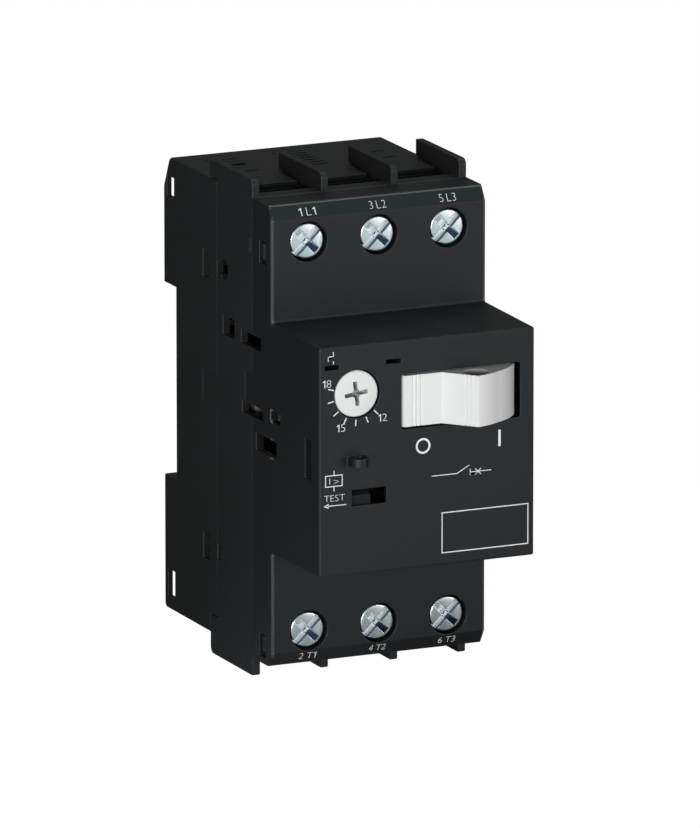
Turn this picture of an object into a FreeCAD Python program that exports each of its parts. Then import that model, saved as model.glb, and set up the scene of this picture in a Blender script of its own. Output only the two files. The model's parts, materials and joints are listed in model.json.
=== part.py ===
import FreeCAD, Part
import math
import os

# Three-pole motor protection breaker. Millimetres.
# Origin: centre of the rail seat. +Z up, -Y towards the user, -X on the first pole's side.

# ---- Envelope, from the nose back to the rail feet ----
module_width = 45.0
nose_reach = 22.1
cover_depth = 8.95
frame_depth = 16.7
base_depth = 19.9
foot_depth = 5.7
frame_half = 45.3
rear_top = frame_half + 0.1
rear_bottom = frame_half - 0.3
fin_reach = 3.6
fin_half = frame_half + fin_reach
foot_step = 3.5
tongue_thick = 1.05
nose_half = 22.7
nose_draft = 0.3

# ---- Walls and gaps ----
wall = 1.5
front_wall = 2.0
fin_thick = 1.4
foot_wall = 1.0
seam_gap = 0.1
run_gap = 0.1
loose_gap = 0.2
edge_round = 0.5

# ---- Poles and terminals ----
pole_pitch = 14.7
line_z = frame_half - 7.4
load_z = frame_half - 6.7
tube_bore = 3.95
tube_wall = 1.25
head_radius = 3.5
head_height = 2.4
head_sink = 0.8
shank_radius = 2.0
tip_radius = 1.2
tip_clearance = 0.05
nut_half = 5.2
nut_thick = 2.0
clamp_half = 5.0
clamp_thick = 1.2
entry_setback = 3.75
entry_gap = 6.4
bar_thick = 1.2
bar_half = 5.0
shelf_z = 31.5
shelf_thick = 1.2

# ---- Contacts ----
crank_radius = 4.0
swing_deg = 48.0
bridge_half = 2.4
bridge_reach = 11.0
bridge_thick = 1.2
tip_pad_radius = 2.0
tip_pad_thick = 0.8
fixed_pad_thick = 1.0
contact_z = 9.0
contact_margin = 0.18
leg_thick = 1.0
carrier_half_z = 3.0
beam_thick = 4.0
beam_half = 18.0
beam_setback = 8.95

# ---- Rocker ----
rocker_x = 7.1
rocker_pivot_depth = 9.05
window_left = -5.43
window_right = 19.58
window_low = 5.0
window_high = 15.87
rocker_gap = 0.44
flank_radius = 14.1
crest_radius = 14.9
wing_spread_deg = 56.3
rocker_wall = 1.4
valley_setback = 4.05
crest_deg = 274.0
swell_span_deg = 22.0
flank_span_deg = 51.0
cheek_thick = 1.3
crank_web = 1.5
padlock_radius = 2.5
shaft_radius = 1.5
crank_pin_radius = 1.0
carrier_top = 3.2
carrier_stem = 2.6
latch_x = 0.0
latch_depth = 20.0
latch_pin_radius = 1.0
latch_level = 8.0
opening_spring_x = 9.7

# ---- Dial and levers ----
dial_x = -14.65
dial_z = 12.9
dial_radius = 4.53
dial_gap = 0.27
dial_tilt_deg = 7.6
dial_slot_half = 2.35
seal_x = -14.9
seal_reach = 1.75
seal_ear = 1.7
seal_radius = 0.9
cam_low = 2.9
cam_lift = 1.2
cam_travel_deg = 149.4
cam_rest_deg = 24.9
lever_x = -10.1
lever_z = -1.5
lever_pin = 0.9
lever_foot_x = -10.8
slide_travel = 1.0
finger_gap = 0.3
slip_travel = 0.45
diff_x = -15.4
diff_drop = 4.2
diff_step = 2.1

# ---- Magnetic and thermal trip ----
trip_z = 9.7 - nose_half
diff_z = trip_z - diff_drop
trip_bar_z = -3.5
trip_bar_depth = 17.0
trip_turn_deg = 8.0
plunger_travel = 2.0
bimetal_offset = 3.6
bimetal_thick = 0.9
bimetal_half = 1.5
heater_radius = 1.95
heater_wire = 0.17
heater_length = 10.0
heater_turns = 10
heater_setback = 18.0
coil_radius = 4.2
coil_wire = 0.55
coil_length = 10.9
stand_half = 1.5
stand_length = 7.0
stand_setback = 5.0
core_radius = 2.6
yoke_drop = 6.9
test_arm_x = -16.4
slide_high = trip_z - 3.0
test_travel = 3.0

# ---- Rail seat ----
recess_top = 20.0
recess_bottom = 18.3
lip_top = 16.4
lip_bottom = 16.4
flange_gap = 1.35
hook_half = 9.0
latch_half = 7.4
latch_thick = 2.5
latch_tab = 47.5

# ---- Planes worked out from the sizes above ----
half = module_width / 2
y_base_joint = -base_depth
y_cover_joint = y_base_joint - frame_depth
y_terminal = y_cover_joint - cover_depth
y_nose = y_terminal - nose_reach
y_back = foot_depth
inner_half = half - wall
rib_x = pole_pitch / 2
poles = [-pole_pitch, 0.0, pole_pitch]
carrier_travel = 2 * crank_radius * math.sin(math.radians(swing_deg / 2))
nut_front = y_cover_joint + 0.25
nut_back = nut_front + nut_thick
clamp_front = nut_back + loose_gap
entry_front = y_cover_joint + entry_setback
entry_back = entry_front + entry_gap
pad_front = entry_back + seam_gap
head_face = y_terminal + head_sink
bar_face = -wall - bar_thick
fixed_face = bar_face - fixed_pad_thick
moving_face = fixed_face - carrier_travel - contact_margin
bridge_back = moving_face - tip_pad_thick
bridge_front = bridge_back - bridge_thick
beam_front = y_cover_joint + beam_setback
beam_back = beam_front + beam_thick
shelf_in = shelf_z - shelf_thick / 2
shelf_out = shelf_z + shelf_thick / 2
rocker_y = y_nose + rocker_pivot_depth
trip_y = y_nose + trip_bar_depth
tip_deg = crest_deg - wing_spread_deg
rocker_low = window_low + rocker_gap
rocker_high = window_high - rocker_gap
nose_inner = nose_half - nose_draft - wall - 0.1
plate_low = window_low - 1.4
plate_high = window_high + 0.43
cam_middle = cam_low + cam_lift * (cam_travel_deg - cam_rest_deg) / cam_travel_deg
trip_horn_back = trip_y + 0.8
slide_low = -nose_inner + 0.2
opening_spring_back = y_base_joint + 2.25
coil_front = y_cover_joint + 3.5
coil_back = coil_front + coil_length
yoke_front = coil_front - 1.4
yoke_back = coil_back + 1.5


def vec(x, y, z):
    return FreeCAD.Vector(x, y, z)


# ---- Solids by their extents ----
def box(x0, x1, y0, y1, z0, z1):
    low = vec(min(x0, x1), min(y0, y1), min(z0, z1))
    return Part.makeBox(abs(x1 - x0), abs(y1 - y0), abs(z1 - z0), low)


def cyl_x(y, z, radius, x0, x1):
    return Part.makeCylinder(radius, x1 - x0, vec(x0, y, z), vec(1, 0, 0))


def cyl_y(x, z, radius, y0, y1):
    return Part.makeCylinder(radius, y1 - y0, vec(x, y0, z), vec(0, 1, 0))


def cyl_z(x, y, radius, z0, z1):
    return Part.makeCylinder(radius, z1 - z0, vec(x, y, z0), vec(0, 0, 1))


def extrude(points, way):
    face = Part.Face(Part.makePolygon(points + [points[0]]))
    return face.extrude(way)


def prism_x(points, x0, x1):
    return extrude([vec(x0, y, z) for y, z in points], vec(x1 - x0, 0, 0))


def prism_y(points, y0, y1):
    return extrude([vec(x, y0, z) for x, z in points], vec(0, y1 - y0, 0))


def prism_z(points, z0, z1):
    return extrude([vec(x, y, z0) for x, y in points], vec(0, 0, z1 - z0))


def fuse(*shapes):
    return shapes[0].multiFuse(list(shapes[1:])).removeSplitter()


def cut(shape, *tools):
    return shape.cut(list(tools))


def both_sides(shape):
    """The shape and its mirror image across the middle plane."""
    return [shape, shape.mirror(vec(0, 0, 0), vec(1, 0, 0))]


def arc_points(cx, cy, radius, start_deg, end_deg, count):
    step = (end_deg - start_deg) / (count - 1)
    turns = [math.radians(start_deg + step * i) for i in range(count)]
    return [(cx + radius * math.cos(t), cy + radius * math.sin(t)) for t in turns]


def round_edges(shape, radius, test):
    chosen = [edge for edge in shape.Edges if test(edge.BoundBox)]
    return shape.makeFillet(radius, chosen)


def coil_y(x, z, radius, wire, y0, y1, turns):
    """A round wire wound about a line along Y."""
    pitch = (y1 - y0 - 2 * wire) / turns
    helix = Part.makeHelix(pitch, pitch * turns, radius)
    section = Part.Wire(Part.makeCircle(wire, vec(radius, 0, 0), vec(0, 1, 0)))
    winding = Part.Wire(helix.Edges).makePipeShell([section], True, True)
    winding.rotate(vec(0, 0, 0), vec(1, 0, 0), -90)
    winding.translate(vec(x, y0 + wire, z))
    return winding


def coil_z(x, y, radius, wire, z0, z1, turns):
    """A round wire wound about a line along Z."""
    winding = coil_y(0, 0, radius, wire, z0, z1, turns)
    winding.rotate(vec(0, 0, 0), vec(1, 0, 0), 90)
    winding.translate(vec(x, y, 0))
    return winding


# Inner width of each pole's chamber, from its two ribs or walls.
def chamber(pole):
    low = -inner_half if pole == poles[0] else pole - rib_x + fin_thick / 2
    high = inner_half if pole == poles[2] else pole + rib_x - fin_thick / 2
    return low, high


# ================= Housing =================
def upper_fin(x0, x1):
    """One phase fin over the line entries; its rear end hangs over the rear housing."""
    root = frame_half - wall
    over = frame_half + 0.4
    back = y_base_joint + 3.15
    corner = arc_points(y_cover_joint + 1.2, fin_half - 1.2, 1.2, 180, 90, 5)
    outline = [(y_cover_joint + 0.05, root)] + corner
    step = y_base_joint - seam_gap
    outline += [(back, fin_half), (back, over), (step, over), (step, root)]
    return prism_x(outline, x0, x1)


def lower_fin(x0, x1):
    """One phase fin under the load entries, ending flush with the floor it grows from."""
    root = wall - frame_half
    back = y_base_joint + foot_step - seam_gap
    corner = arc_points(back - 1.2, 1.2 - fin_half, 1.2, 0, -90, 5)
    front = [(y_cover_joint + 0.35, -fin_half), (y_cover_joint + 0.05, 0.3 - fin_half)]
    outline = [(y_cover_joint + 0.05, root), (back, root)] + corner + front
    return prism_x(outline, x0, x1)


def fin_spans():
    spans = [(x - fin_thick / 2, x + fin_thick / 2) for x in (-rib_x, rib_x)]
    return [(-half, -inner_half)] + spans + [(inner_half, half)]


def side_windows(depth_range, z_range, skin):
    """The same window through both side walls."""
    low, high = depth_range
    window = box(half - skin, half + 1, y_nose + low, y_nose + high, z_range[0], z_range[1])
    return both_sides(window)


def top_vents():
    rows = [(-14.4, -11.4, d, 0.9) for d in (53.0, 64.0)]
    rows += [(-14.4, -11.4, 61.9, 0.5), (-14.4, -11.4, 59.0, 1.8)]
    rows += [(0.15, 3.25, 53.2 + 2.02 * i, 0.9) for i in range(7)]
    rows += [(15.0, 17.7, d, 0.9) for d in (53.0, 58.6)]
    rows += [(-17.9, -17.1, 64.0, 0.8), (-3.2, -2.4, 65.2, 0.8)]
    vents = []
    for x0, x1, depth, width in rows:
        y = y_nose + depth
        vents.append(box(x0, x1, y - width / 2, min(y + width / 2, -wall), rear_top - wall - 1, rear_top + 1))
    return vents


def rear_housing():
    step = y_base_joint + foot_step
    step_z = -(rear_bottom - 3.7)
    lower_back = arc_points(y_back - 1, -rear_bottom + 1, 1, -90, 0, 5)
    outline = [(y_base_joint, step_z), (step, step_z), (step, -rear_bottom)] + lower_back
    outline += [(y_back, -recess_bottom), (0, -recess_bottom), (0, recess_top), (y_back, recess_top)]
    outline += [(y_back, rear_top - 6.1), (y_back - 2.8, rear_top), (y_base_joint, rear_top)]
    shell = prism_x(outline, -half, half)
    rear_edge = y_back - 3
    shell = round_edges(shell, 1.5, lambda b: b.ZMin > rear_top - 0.1 and b.YMin > rear_edge and b.XLength > half)
    shell = round_edges(shell, edge_round, lambda b: b.XLength < 0.01 and b.YMax > y_base_joint + 0.1)

    roof = rear_top - wall
    floor = -(rear_bottom - wall)
    hollow = [(y_base_joint - 1, step_z + wall), (step + wall, step_z + wall), (step + wall, floor)]
    hollow += [(-wall, floor), (-wall, roof), (y_base_joint - 1, roof)]
    rooms = [prism_x(hollow, *chamber(pole)) for pole in poles]

    rib = 11.0
    edge = half - foot_wall
    inside = rib - foot_wall / 2
    roof_in = rear_top - foot_wall
    upper = both_sides(box(inside + foot_wall, edge, 0, y_back + 1, recess_top + foot_wall, roof_in))
    upper += [box(-inside, inside, 0, y_back + 1, recess_top + 7, roof_in)]
    low = -rear_bottom + foot_wall
    high = -recess_bottom - foot_wall
    lower = both_sides(box(inside + foot_wall, edge, 0, y_back + 1, low, high))
    lower += [box(-inside, inside, 0, y_back + 1, low, high)]

    windows = side_windows((51.54, 54.46), (25.2, 30.6), wall + 0.1)
    windows += side_windows((51.54, 54.46), (-30.8, -25.4), wall + 0.1)
    windows += side_windows((47.0, 54.56), (0.66, 6.7), wall + 0.1)
    windows += both_sides(box(edge - 0.1, half + 1, 0.55, 3.95, 37.5, 41.6))
    windows += both_sides(box(edge - 0.1, half + 1, 0.55, 3.95, -42.4, -36.9))
    notch = box(-18.9, -11.2, 2.45, y_back + 1, rear_top - foot_wall - 0.5, rear_top + 1)

    shell = cut(shell, *(rooms + upper + lower + windows + top_vents() + [notch]))
    return fuse(shell, *(tongues() + rail_hook() + latch_guides() + spring_ledges())).cut(seat_relief())


def tongues():
    """Roof strips that reach forward over the middle housing, between its fins."""
    strips = []
    for pole in poles:
        low, high = chamber(pole)
        under = rear_top - tongue_thick
        strips.append(box(low + seam_gap, high - 0.4, entry_back, y_base_joint + 1, under, rear_top))
    return strips


def rail_hook():
    block = box(-hook_half, hook_half, -0.5, y_back - 0.4, recess_top, recess_top + 7)
    lip = [(flange_gap, recess_top + 1), (flange_gap, lip_top + 0.3), (flange_gap + 0.5, lip_top)]
    lip += [(4.9, lip_top), (4.9, recess_top + 1)]
    return [block, prism_x(lip, -hook_half, hook_half)]


def latch_guides():
    """Ribs that guide the latch, their lips behind it, and the post for its spring."""
    low = -rear_bottom + foot_wall / 2
    high = -recess_bottom - foot_wall / 2
    inner = latch_half + run_gap
    ribs = both_sides(box(inner, inner + foot_wall, -0.5, y_back - 0.2, low, high))
    rails = both_sides(box(latch_half - 1.4, inner + 0.5, -0.5, flange_gap - run_gap, low, high))
    lips = []
    for z in (-25.0, -42.0):
        catch = flange_gap + latch_thick + run_gap
        lips += both_sides(box(latch_half - 1.0, inner + 0.5, catch, catch + 1.0, z - 1.5, z + 1.5))
    post = box(-1.2, 1.2, -0.5, flange_gap + latch_thick, -40.2, -38.7)
    return ribs + rails + lips + [post]


def seat_relief():
    """Clears the seat behind the hook and the latch, and opens the latch's way through the foot."""
    top = box(-hook_half - 0.3, hook_half + 0.3, -0.6, flange_gap - 0.01, lip_top - 0.3, recess_top)
    mid = latch_half + run_gap
    bottom = box(-mid - 0.2, mid + 0.2, -0.6, 0.01, -recess_bottom, -lip_bottom + 0.3)
    back = flange_gap + latch_thick + 0.2
    way_in = box(-mid, mid, flange_gap - 0.2, back, -recess_bottom - foot_wall - 0.1, -recess_bottom + 0.1)
    way_out = box(-mid, mid, flange_gap - 0.2, back, -rear_bottom - 0.1, -rear_bottom + foot_wall + 0.1)
    return top.fuse([bottom, way_in, way_out])


def spring_ledges():
    """Seats behind the opening springs, beside the middle chamber's ribs."""
    y = opening_spring_back
    return both_sides(box(rib_x, opening_spring_x + 1.2, y, y + 1.5, -1.6, 1.6))


def middle_housing():
    under_tongue = rear_top - tongue_thick - seam_gap - 0.05
    floor_back = y_base_joint + foot_step - seam_gap
    ledge = -(rear_bottom - 3.7) - seam_gap
    outline = [(y_cover_joint, frame_half), (entry_front, frame_half), (entry_front, under_tongue)]
    outline += [(y_base_joint, under_tongue), (y_base_joint, ledge), (floor_back, ledge)]
    outline += [(floor_back, -frame_half), (y_cover_joint, -frame_half)]
    shell = prism_x(outline, -half, half)

    fins = []
    for x0, x1 in fin_spans():
        fins.append(upper_fin(x0, x1))
        fins.append(lower_fin(x0, x1))
    shell = fuse(shell, *fins)

    front = y_cover_joint - 1
    roof = frame_half - wall
    hollows = []
    for pole in poles:
        low, high = chamber(pole)
        hollows.append(box(low, high, front, y_base_joint + 1, -shelf_in, shelf_in))
        hollows.append(box(low, high, front, entry_back, shelf_out, roof))
        hollows.append(box(low, high, entry_back - 1, y_base_joint + 1, shelf_out, under_tongue - wall))
        hollows.append(box(low, high, front, y_base_joint, -roof, -shelf_out))
        hollows.append(box(low, high, entry_front, entry_back, frame_half - 2, fin_half + 1))
        hollows.append(box(low, high, entry_front, entry_back, -frame_half + 2, -fin_half - 1))
        slot_x = pole - bimetal_offset
        slot = box(slot_x - 1.8, slot_x + 1.8, front, y_cover_joint + 2.0, -shelf_out - 1, -shelf_in + 1)
        hollows.append(slot)
    reach = carrier_half_z + 0.4
    cross_back = beam_back + carrier_travel + 0.4
    hollows.append(box(-beam_half - 1, beam_half + 1, beam_front - 0.4, cross_back, -reach, reach))

    windows = side_windows((47.76 - 1.66, 48.8), (26.4, 29.7), wall + 0.1)
    windows += side_windows((46.1, 48.8), (-29.6, -26.6), wall + 0.1)
    windows += side_windows((39.46, 45.0), (15.7, 19.6), wall + 0.1)
    windows += side_windows((31.0, 36.44), (15.9, 18.55), wall + 0.1)
    windows += side_windows((31.0, 35.96), (2.4, 4.8), wall + 0.1)
    windows += side_windows((31.0, 34.42 + seam_gap), (4.7, 10.7 + seam_gap), wall + 0.1)
    windows += both_sides(cyl_x(y_nose + 44.5, 28.5, 2.0, inner_half - 0.1, half + 1))
    shell = cut(shell, *(hollows + windows + lug_leads()))

    tabs = both_sides(box(inner_half, half, y_base_joint - 0.5, y_nose + 54.46, 0.76, 6.6))
    return fuse(shell, *(tabs + clip_lugs() + yoke_stands()))


def lug_leads():
    """Sloped reliefs in the side walls where the cover slides on over the lugs."""
    y = y_cover_joint
    outline = [(half + 0.01, y + 1.75), (half - 0.6, y), (half - 0.6, y - 1), (half + 1, y - 1)]
    outline += [(half + 1, y + 1.75)]
    return both_sides(prism_z(outline, 34.4, 37.35)) + both_sides(prism_z(outline, -43.2, -40.2))


def clip_lugs():
    """Spring arms that reach into the cover, each with a sloped lug for the cover's window."""
    lugs = []
    for z0, z1, depth in ((33.9, 37.4, 24.9), (-43.4, -40.0, 25.4)):
        arm_in = half - 1.6 - 0.9
        arm_out = half - 1.6 - 0.05
        tip = y_nose + depth
        root = box(arm_in, inner_half + 0.2, y_cover_joint + 0.2, y_cover_joint + 1.4, z0, z1)
        arm = box(arm_in, arm_out, tip, y_cover_joint + 1.4, z0, z1)
        slope = [(arm_out - 0.2, tip), (half - 0.5, tip + 2.4), (arm_out - 0.2, tip + 2.4)]
        lugs += both_sides(fuse(root, arm, prism_z(slope, z0 + 0.2, z1 - 0.2)))
    return lugs


def yoke_stands():
    """Feet on the lower shelf that carry the magnet yokes."""
    top = trip_z - yoke_drop - 0.1
    front = y_cover_joint + stand_setback
    back = front + stand_length
    return [box(pole - stand_half, pole + stand_half, front, back, -shelf_in, top) for pole in poles]


def front_cover():
    chamfer_y = y_terminal + 1.75
    shelf = nose_half
    tip = nose_half - nose_draft
    upper = [(y_cover_joint, frame_half), (chamfer_y, frame_half), (y_terminal, frame_half - 2.7)]
    upper += [(y_terminal, shelf), (y_nose, tip)]
    lower = [(y, -z) for y, z in reversed(upper)]
    shell = prism_x(upper + lower, -half, half)
    shell = round_edges(shell, 0.4, lambda b: b.YMax < y_cover_joint - 0.1 and b.ZLength < 50)

    skin = 1.6
    inside = half - skin
    high = frame_half - skin
    hollow = box(-inside, inside, y_terminal + front_wall, y_cover_joint + 1, -high, high)
    nose = box(-inside, inside, y_nose + front_wall, y_terminal + front_wall + 1, -nose_inner, nose_inner)
    shell = cut(shell, hollow, nose)

    ribs = []
    for x in (-rib_x, rib_x):
        for side in (1, -1):
            z1 = side * (frame_half - 1.6)
            ribs.append(box(x - 0.6, x + 0.6, y_terminal + 1, y_cover_joint, side * (nose_half + 1), z1))
    tubes = []
    bores = []
    for pole in poles:
        for z in (line_z, -load_z):
            tubes.append(cyl_y(pole, z, tube_bore + tube_wall, y_terminal + 1, y_cover_joint - 0.55))
            bores.append(cyl_y(pole, z, tube_bore, y_terminal - 1, y_cover_joint))
    shell = fuse(shell, *(ribs + tubes + cover_bosses()))
    shell = cut(shell, *(bores + cover_windows()))
    return fuse(shell, seal_eyelet(), *side_tabs())


def cover_bosses():
    """Dial boss, lever post, lock frame seats and trip bar bearings inside the nose."""
    behind = y_nose + front_wall - 0.5
    parts = [cyl_y(dial_x, dial_z, dial_radius + dial_gap + 1.5, behind, y_nose + 7.8)]
    parts.append(cyl_y(lever_x, lever_z, 2.0, behind, y_nose + 8.1))
    parts.append(cyl_y(lever_x, lever_z, lever_pin, behind, y_nose + 10.3))
    for x in (-2.4, 17.0):
        parts.append(box(x - 1.5, x + 1.5, behind, y_nose + 6.0, plate_low, plate_low + 1.0))
        parts.append(box(x - 1.5, x + 1.5, behind, y_nose + 6.0, plate_high, plate_high + 1.0))
    for bearing in both_sides(cyl_x(trip_y, trip_bar_z, 2.6, half - 3.0, half - 1.5)):
        parts.append(bearing)
    return parts


def cover_windows():
    """Every opening of the cover except the screw tubes."""
    tools = []
    frame = box(window_left, window_right, y_nose - 1, y_nose + front_wall + 0.2, window_low, window_high)
    tools.append(round_edges(frame, 0.6, lambda b: b.YLength > 1 and b.XLength < 0.01 and b.ZLength < 0.01))
    tools.append(cyl_y(dial_x, dial_z, dial_radius + dial_gap, y_nose - 1, y_nose + 3.2))
    tools.append(cyl_y(dial_x, dial_z, cam_low + cam_lift + run_gap, y_nose, y_nose + 9))
    tools.append(box(-20.8, -18.39, y_nose - 1, y_nose + front_wall + 0.1, 18.03, 18.96))
    tools.append(box(-21.41, -20.7, y_nose - 1, y_nose + 1.2, 18.03, 18.96))
    tools.append(box(-8.59, -5.5, y_nose - 1, y_nose + front_wall + 0.1, 18.09, 18.98))
    tools.append(box(-15.69, -8.5, y_nose - 1, y_nose + front_wall, -8.95, -5.73))
    tools.append(box(-20.8, -8.0, y_nose + 1.0, y_nose + front_wall + 0.1, -9.5, -5.2))
    skin = 1.7
    tools += side_windows((27.0, 32.0), (15.9, 18.55), skin)
    tools += side_windows((26.05, 32.0), (2.4, 4.8), skin)
    tools += side_windows((18.0, 22.7), (3.4, 5.65), skin)
    tools += side_windows((19.9, 29.4), (-3.7, -0.2), skin)
    tools += side_windows((3.82, 6.64), (-4.2, 3.8), skin)
    tools += side_windows((24.6, 27.7), (33.4, 38.0), skin)
    tools += side_windows((25.1, 28.0), (-44.0, -39.4), skin)
    tools += both_sides(cyl_x(trip_y, trip_bar_z, shaft_radius + 0.06, half - 4, half - 1.55))
    behind_window = box(-half, half, y_nose, y_nose + front_wall + 0.2, window_low, window_high)
    swept = cyl_z(rocker_x, rocker_y, crest_radius + loose_gap, window_low, window_high)
    tools.append(swept.common(behind_window))
    flank_room = rocker_x + flank_radius + run_gap + 0.05
    tools.append(box(half - skin, flank_room, y_nose + 3, y_nose + 20, window_low, window_high))
    return tools


def side_tabs():
    """Tabs of the side walls that reach back into the middle housing."""
    return both_sides(box(inner_half + 0.1, half, y_cover_joint - 0.5, y_nose + 34.42, 4.8, 10.7))


def seal_eyelet():
    x = seal_x
    y = y_nose - seal_reach
    root = y_nose + 0.5
    ear = [(x - seal_ear, root)] + arc_points(x, y, seal_ear, 180, 360, 13) + [(x + seal_ear, root)]
    return prism_z(ear, -0.8, 0.9).cut(cyl_z(x, y, seal_radius, -2, 2))


# ================= Switching lock =================
def polar(radius, turn_deg):
    turn = math.radians(turn_deg)
    return rocker_x + radius * math.cos(turn), rocker_y + radius * math.sin(turn)


def flank(start_deg, end_deg, count):
    """Points along the round flank, which swells a little towards the edge of each wing."""
    points = []
    for i in range(count):
        turn = start_deg + (end_deg - start_deg) * i / (count - 1)
        away = min(abs(turn - crest_deg), abs(turn - tip_deg))
        swell = max(0.0, 1 - away / swell_span_deg)
        points.append(polar(flank_radius + (crest_radius - flank_radius) * swell, turn))
    return points


def rocker_outline():
    """The two wings' faces and the flank behind each, from one end of the flank to the other."""
    points = flank(tip_deg - flank_span_deg, tip_deg, 16)
    points += [(rocker_x - valley_setback, y_nose)]
    return points + flank(crest_deg, crest_deg + flank_span_deg, 16)


def rocker():
    """Two wings over a round flank, hollow behind, with its hub, crank web and padlock tube."""
    outline = rocker_outline()
    inner_radius = flank_radius - rocker_wall
    inner = arc_points(rocker_x, rocker_y, inner_radius, crest_deg + flank_span_deg, crest_deg + 4, 12)
    inner += [(rocker_x - 3.6, y_nose + rocker_wall + 0.3)]
    inner += arc_points(rocker_x, rocker_y, inner_radius - 0.6, tip_deg - 6, tip_deg - flank_span_deg, 10)
    body = prism_z(outline + inner, rocker_low, rocker_high)

    cheek = []
    for z in (rocker_low, rocker_high - cheek_thick):
        cheek.append(prism_z(outline + [(rocker_x, rocker_y + 2.6)], z, z + cheek_thick))
    hub = cyl_z(rocker_x, rocker_y, shaft_radius + 1.1, rocker_low, rocker_high)
    pin_x, pin_y = crank_place()
    web_high = rocker_low + crank_web
    web = cyl_z(pin_x, pin_y, crank_pin_radius + 0.9, rocker_low, web_high)
    link = box(rocker_x, pin_x, rocker_y - 1.6, rocker_y + 1.0, rocker_low, web_high)
    lock_x, lock_y = padlock_place()
    tube = cyl_z(lock_x, lock_y, padlock_radius + 1.0, rocker_low, rocker_high)
    solid = prism_z(outline, rocker_low, rocker_high)
    body = fuse(body, hub, web, link, tube.common(solid), *cheek)
    bores = [cyl_z(rocker_x, rocker_y, shaft_radius + 0.05, rocker_low - 1, rocker_high + 1)]
    bores.append(cyl_z(pin_x, pin_y, crank_pin_radius + 0.02, rocker_low - 1, web_high))
    bores.append(cyl_z(lock_x, lock_y, padlock_radius, rocker_low - 1, rocker_high + 1))
    return cut(body, *bores)


def crank_place():
    return polar(crank_radius, -swing_deg / 2)


def padlock_place():
    return rocker_x + 1.95, y_nose - 2.5


def rocker_shaft():
    return cyl_z(rocker_x, rocker_y, shaft_radius, plate_low, plate_high + 1.0)


def crank_pin():
    x, y = crank_place()
    return cyl_z(x, y, crank_pin_radius, carrier_top - carrier_stem + 0.3, rocker_low + crank_web)


def lock_frame():
    """Two steel plates that carry the rocker and the latch, joined by a rear plate."""
    left = -4.0
    right = 18.6
    front = y_nose + 6.0
    back = y_nose + 28.0
    pin_x, pin_y = crank_place()
    plates = [box(left, right, front, back, z, z + 1.0) for z in (plate_low, plate_high)]
    bridge = box(left, right, back - 1.0, back, plate_low, plate_high + 1.0)
    window = box(0, 14, back - 1.5, back + 0.5, plate_low + 4, plate_high - 4)
    swing_back = pin_y + carrier_travel + 1.6
    swing = box(pin_x - 1.6, pin_x + 2.0, front - 0.1, swing_back, plate_low - 0.1, plate_low + 1.1)
    holes = [cyl_z(rocker_x, rocker_y, shaft_radius + 0.02, 0, 20)]
    holes.append(cyl_z(latch_x, y_nose + latch_depth, latch_pin_radius + 0.02, 0, 20))
    return cut(fuse(bridge, *plates), window, swing, *holes)


def latch_pin():
    return cyl_z(latch_x, y_nose + latch_depth, latch_pin_radius, plate_low, plate_high + 1.0)


def latch_lever():
    """Flat lever: one arm under the trip bar's horn, the other beside the rocker's hub."""
    y = y_nose + latch_depth
    hub = cyl_z(latch_x, y, 2.2, latch_level, latch_level + 2.0)
    hook = [(-1.2, y - 1.0), (3.9, y - 6.6), (5.2, y - 5.8), (1.6, y + 1.4)]
    nose = prism_z(hook, latch_level, latch_level + 2.0)
    tail = [(0, y - 1.6), (-6.3, trip_horn_back), (-6.3, trip_horn_back + 1.6), (0, y + 1.8)]
    tail = prism_z(tail, latch_level, latch_level + 2.0)
    bore = cyl_z(latch_x, y, latch_pin_radius + 0.05, latch_level - 1, latch_level + 3)
    return cut(fuse(hub, nose, tail), bore)


def latch_spring():
    y = y_nose + latch_depth
    coil = coil_z(latch_x, y, 1.55, 0.2, latch_level + 2.3, latch_level + 5.5, 5)
    return coil


def rocker_spring():
    """Torsion spring round the rocker's hub; its leg rests on the lock frame's rear plate."""
    radius = shaft_radius + 1.1 + 0.3 + 0.25
    coil = coil_z(rocker_x, rocker_y, radius, 0.25, 8.2, 12.0, 5)
    leg = cyl_y(rocker_x + radius, 8.6, 0.25, rocker_y, y_nose + 27.0)
    return coil.fuse(leg)


def trip_bar():
    """Shaft across the poles, a paddle per pole, the latch's horn and the test arm."""
    reach = half - 1.9
    parts = [cyl_x(trip_y, trip_bar_z, shaft_radius, -reach, reach)]
    for pole in poles:
        parts.append(box(pole - 0.3, pole + 2.3, trip_y - 1.3, trip_y - 0.1, trip_z - 1.5, trip_bar_z))
    parts.append(box(-6.1, -4.7, trip_y - 0.6, trip_horn_back - 0.2, trip_bar_z, latch_level + 2.2))
    parts.append(box(test_arm_x, test_arm_x + 1.0, y_nose + 9.1, trip_y, trip_bar_z - 1.5, trip_bar_z - 0.5))
    return fuse(*parts)


def test_slider():
    """Block behind the test window; its rear slope lifts the trip bar's arm."""
    front = y_nose + 1.1
    back = y_nose + 8.0
    low = -9.3
    outline = [(front, low), (front, -7.2), (front + 2.2, -5.5), (back, -5.5), (back, low)]
    block = prism_x(outline, -17.5, -11.37)
    arm_low = trip_bar_z - 1.5
    right = test_arm_x + 1.0
    reach = trip_bar_depth - 9.1
    rise = reach * math.sin(math.radians(trip_turn_deg))
    slope = [(right - 1.4, low), (right - 1.4, arm_low - 0.7), (right, arm_low - loose_gap)]
    slope += [(right + test_travel, arm_low - loose_gap + rise), (right + test_travel, low)]
    return fuse(block, prism_y(slope, back - 0.1, y_nose + 10.0))


# ================= Dial and thermal trip =================
def cam_at_follower(turn_deg):
    """Cam radius under the lever once the dial has turned this far."""
    return cam_middle + cam_lift * turn_deg / cam_travel_deg


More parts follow.
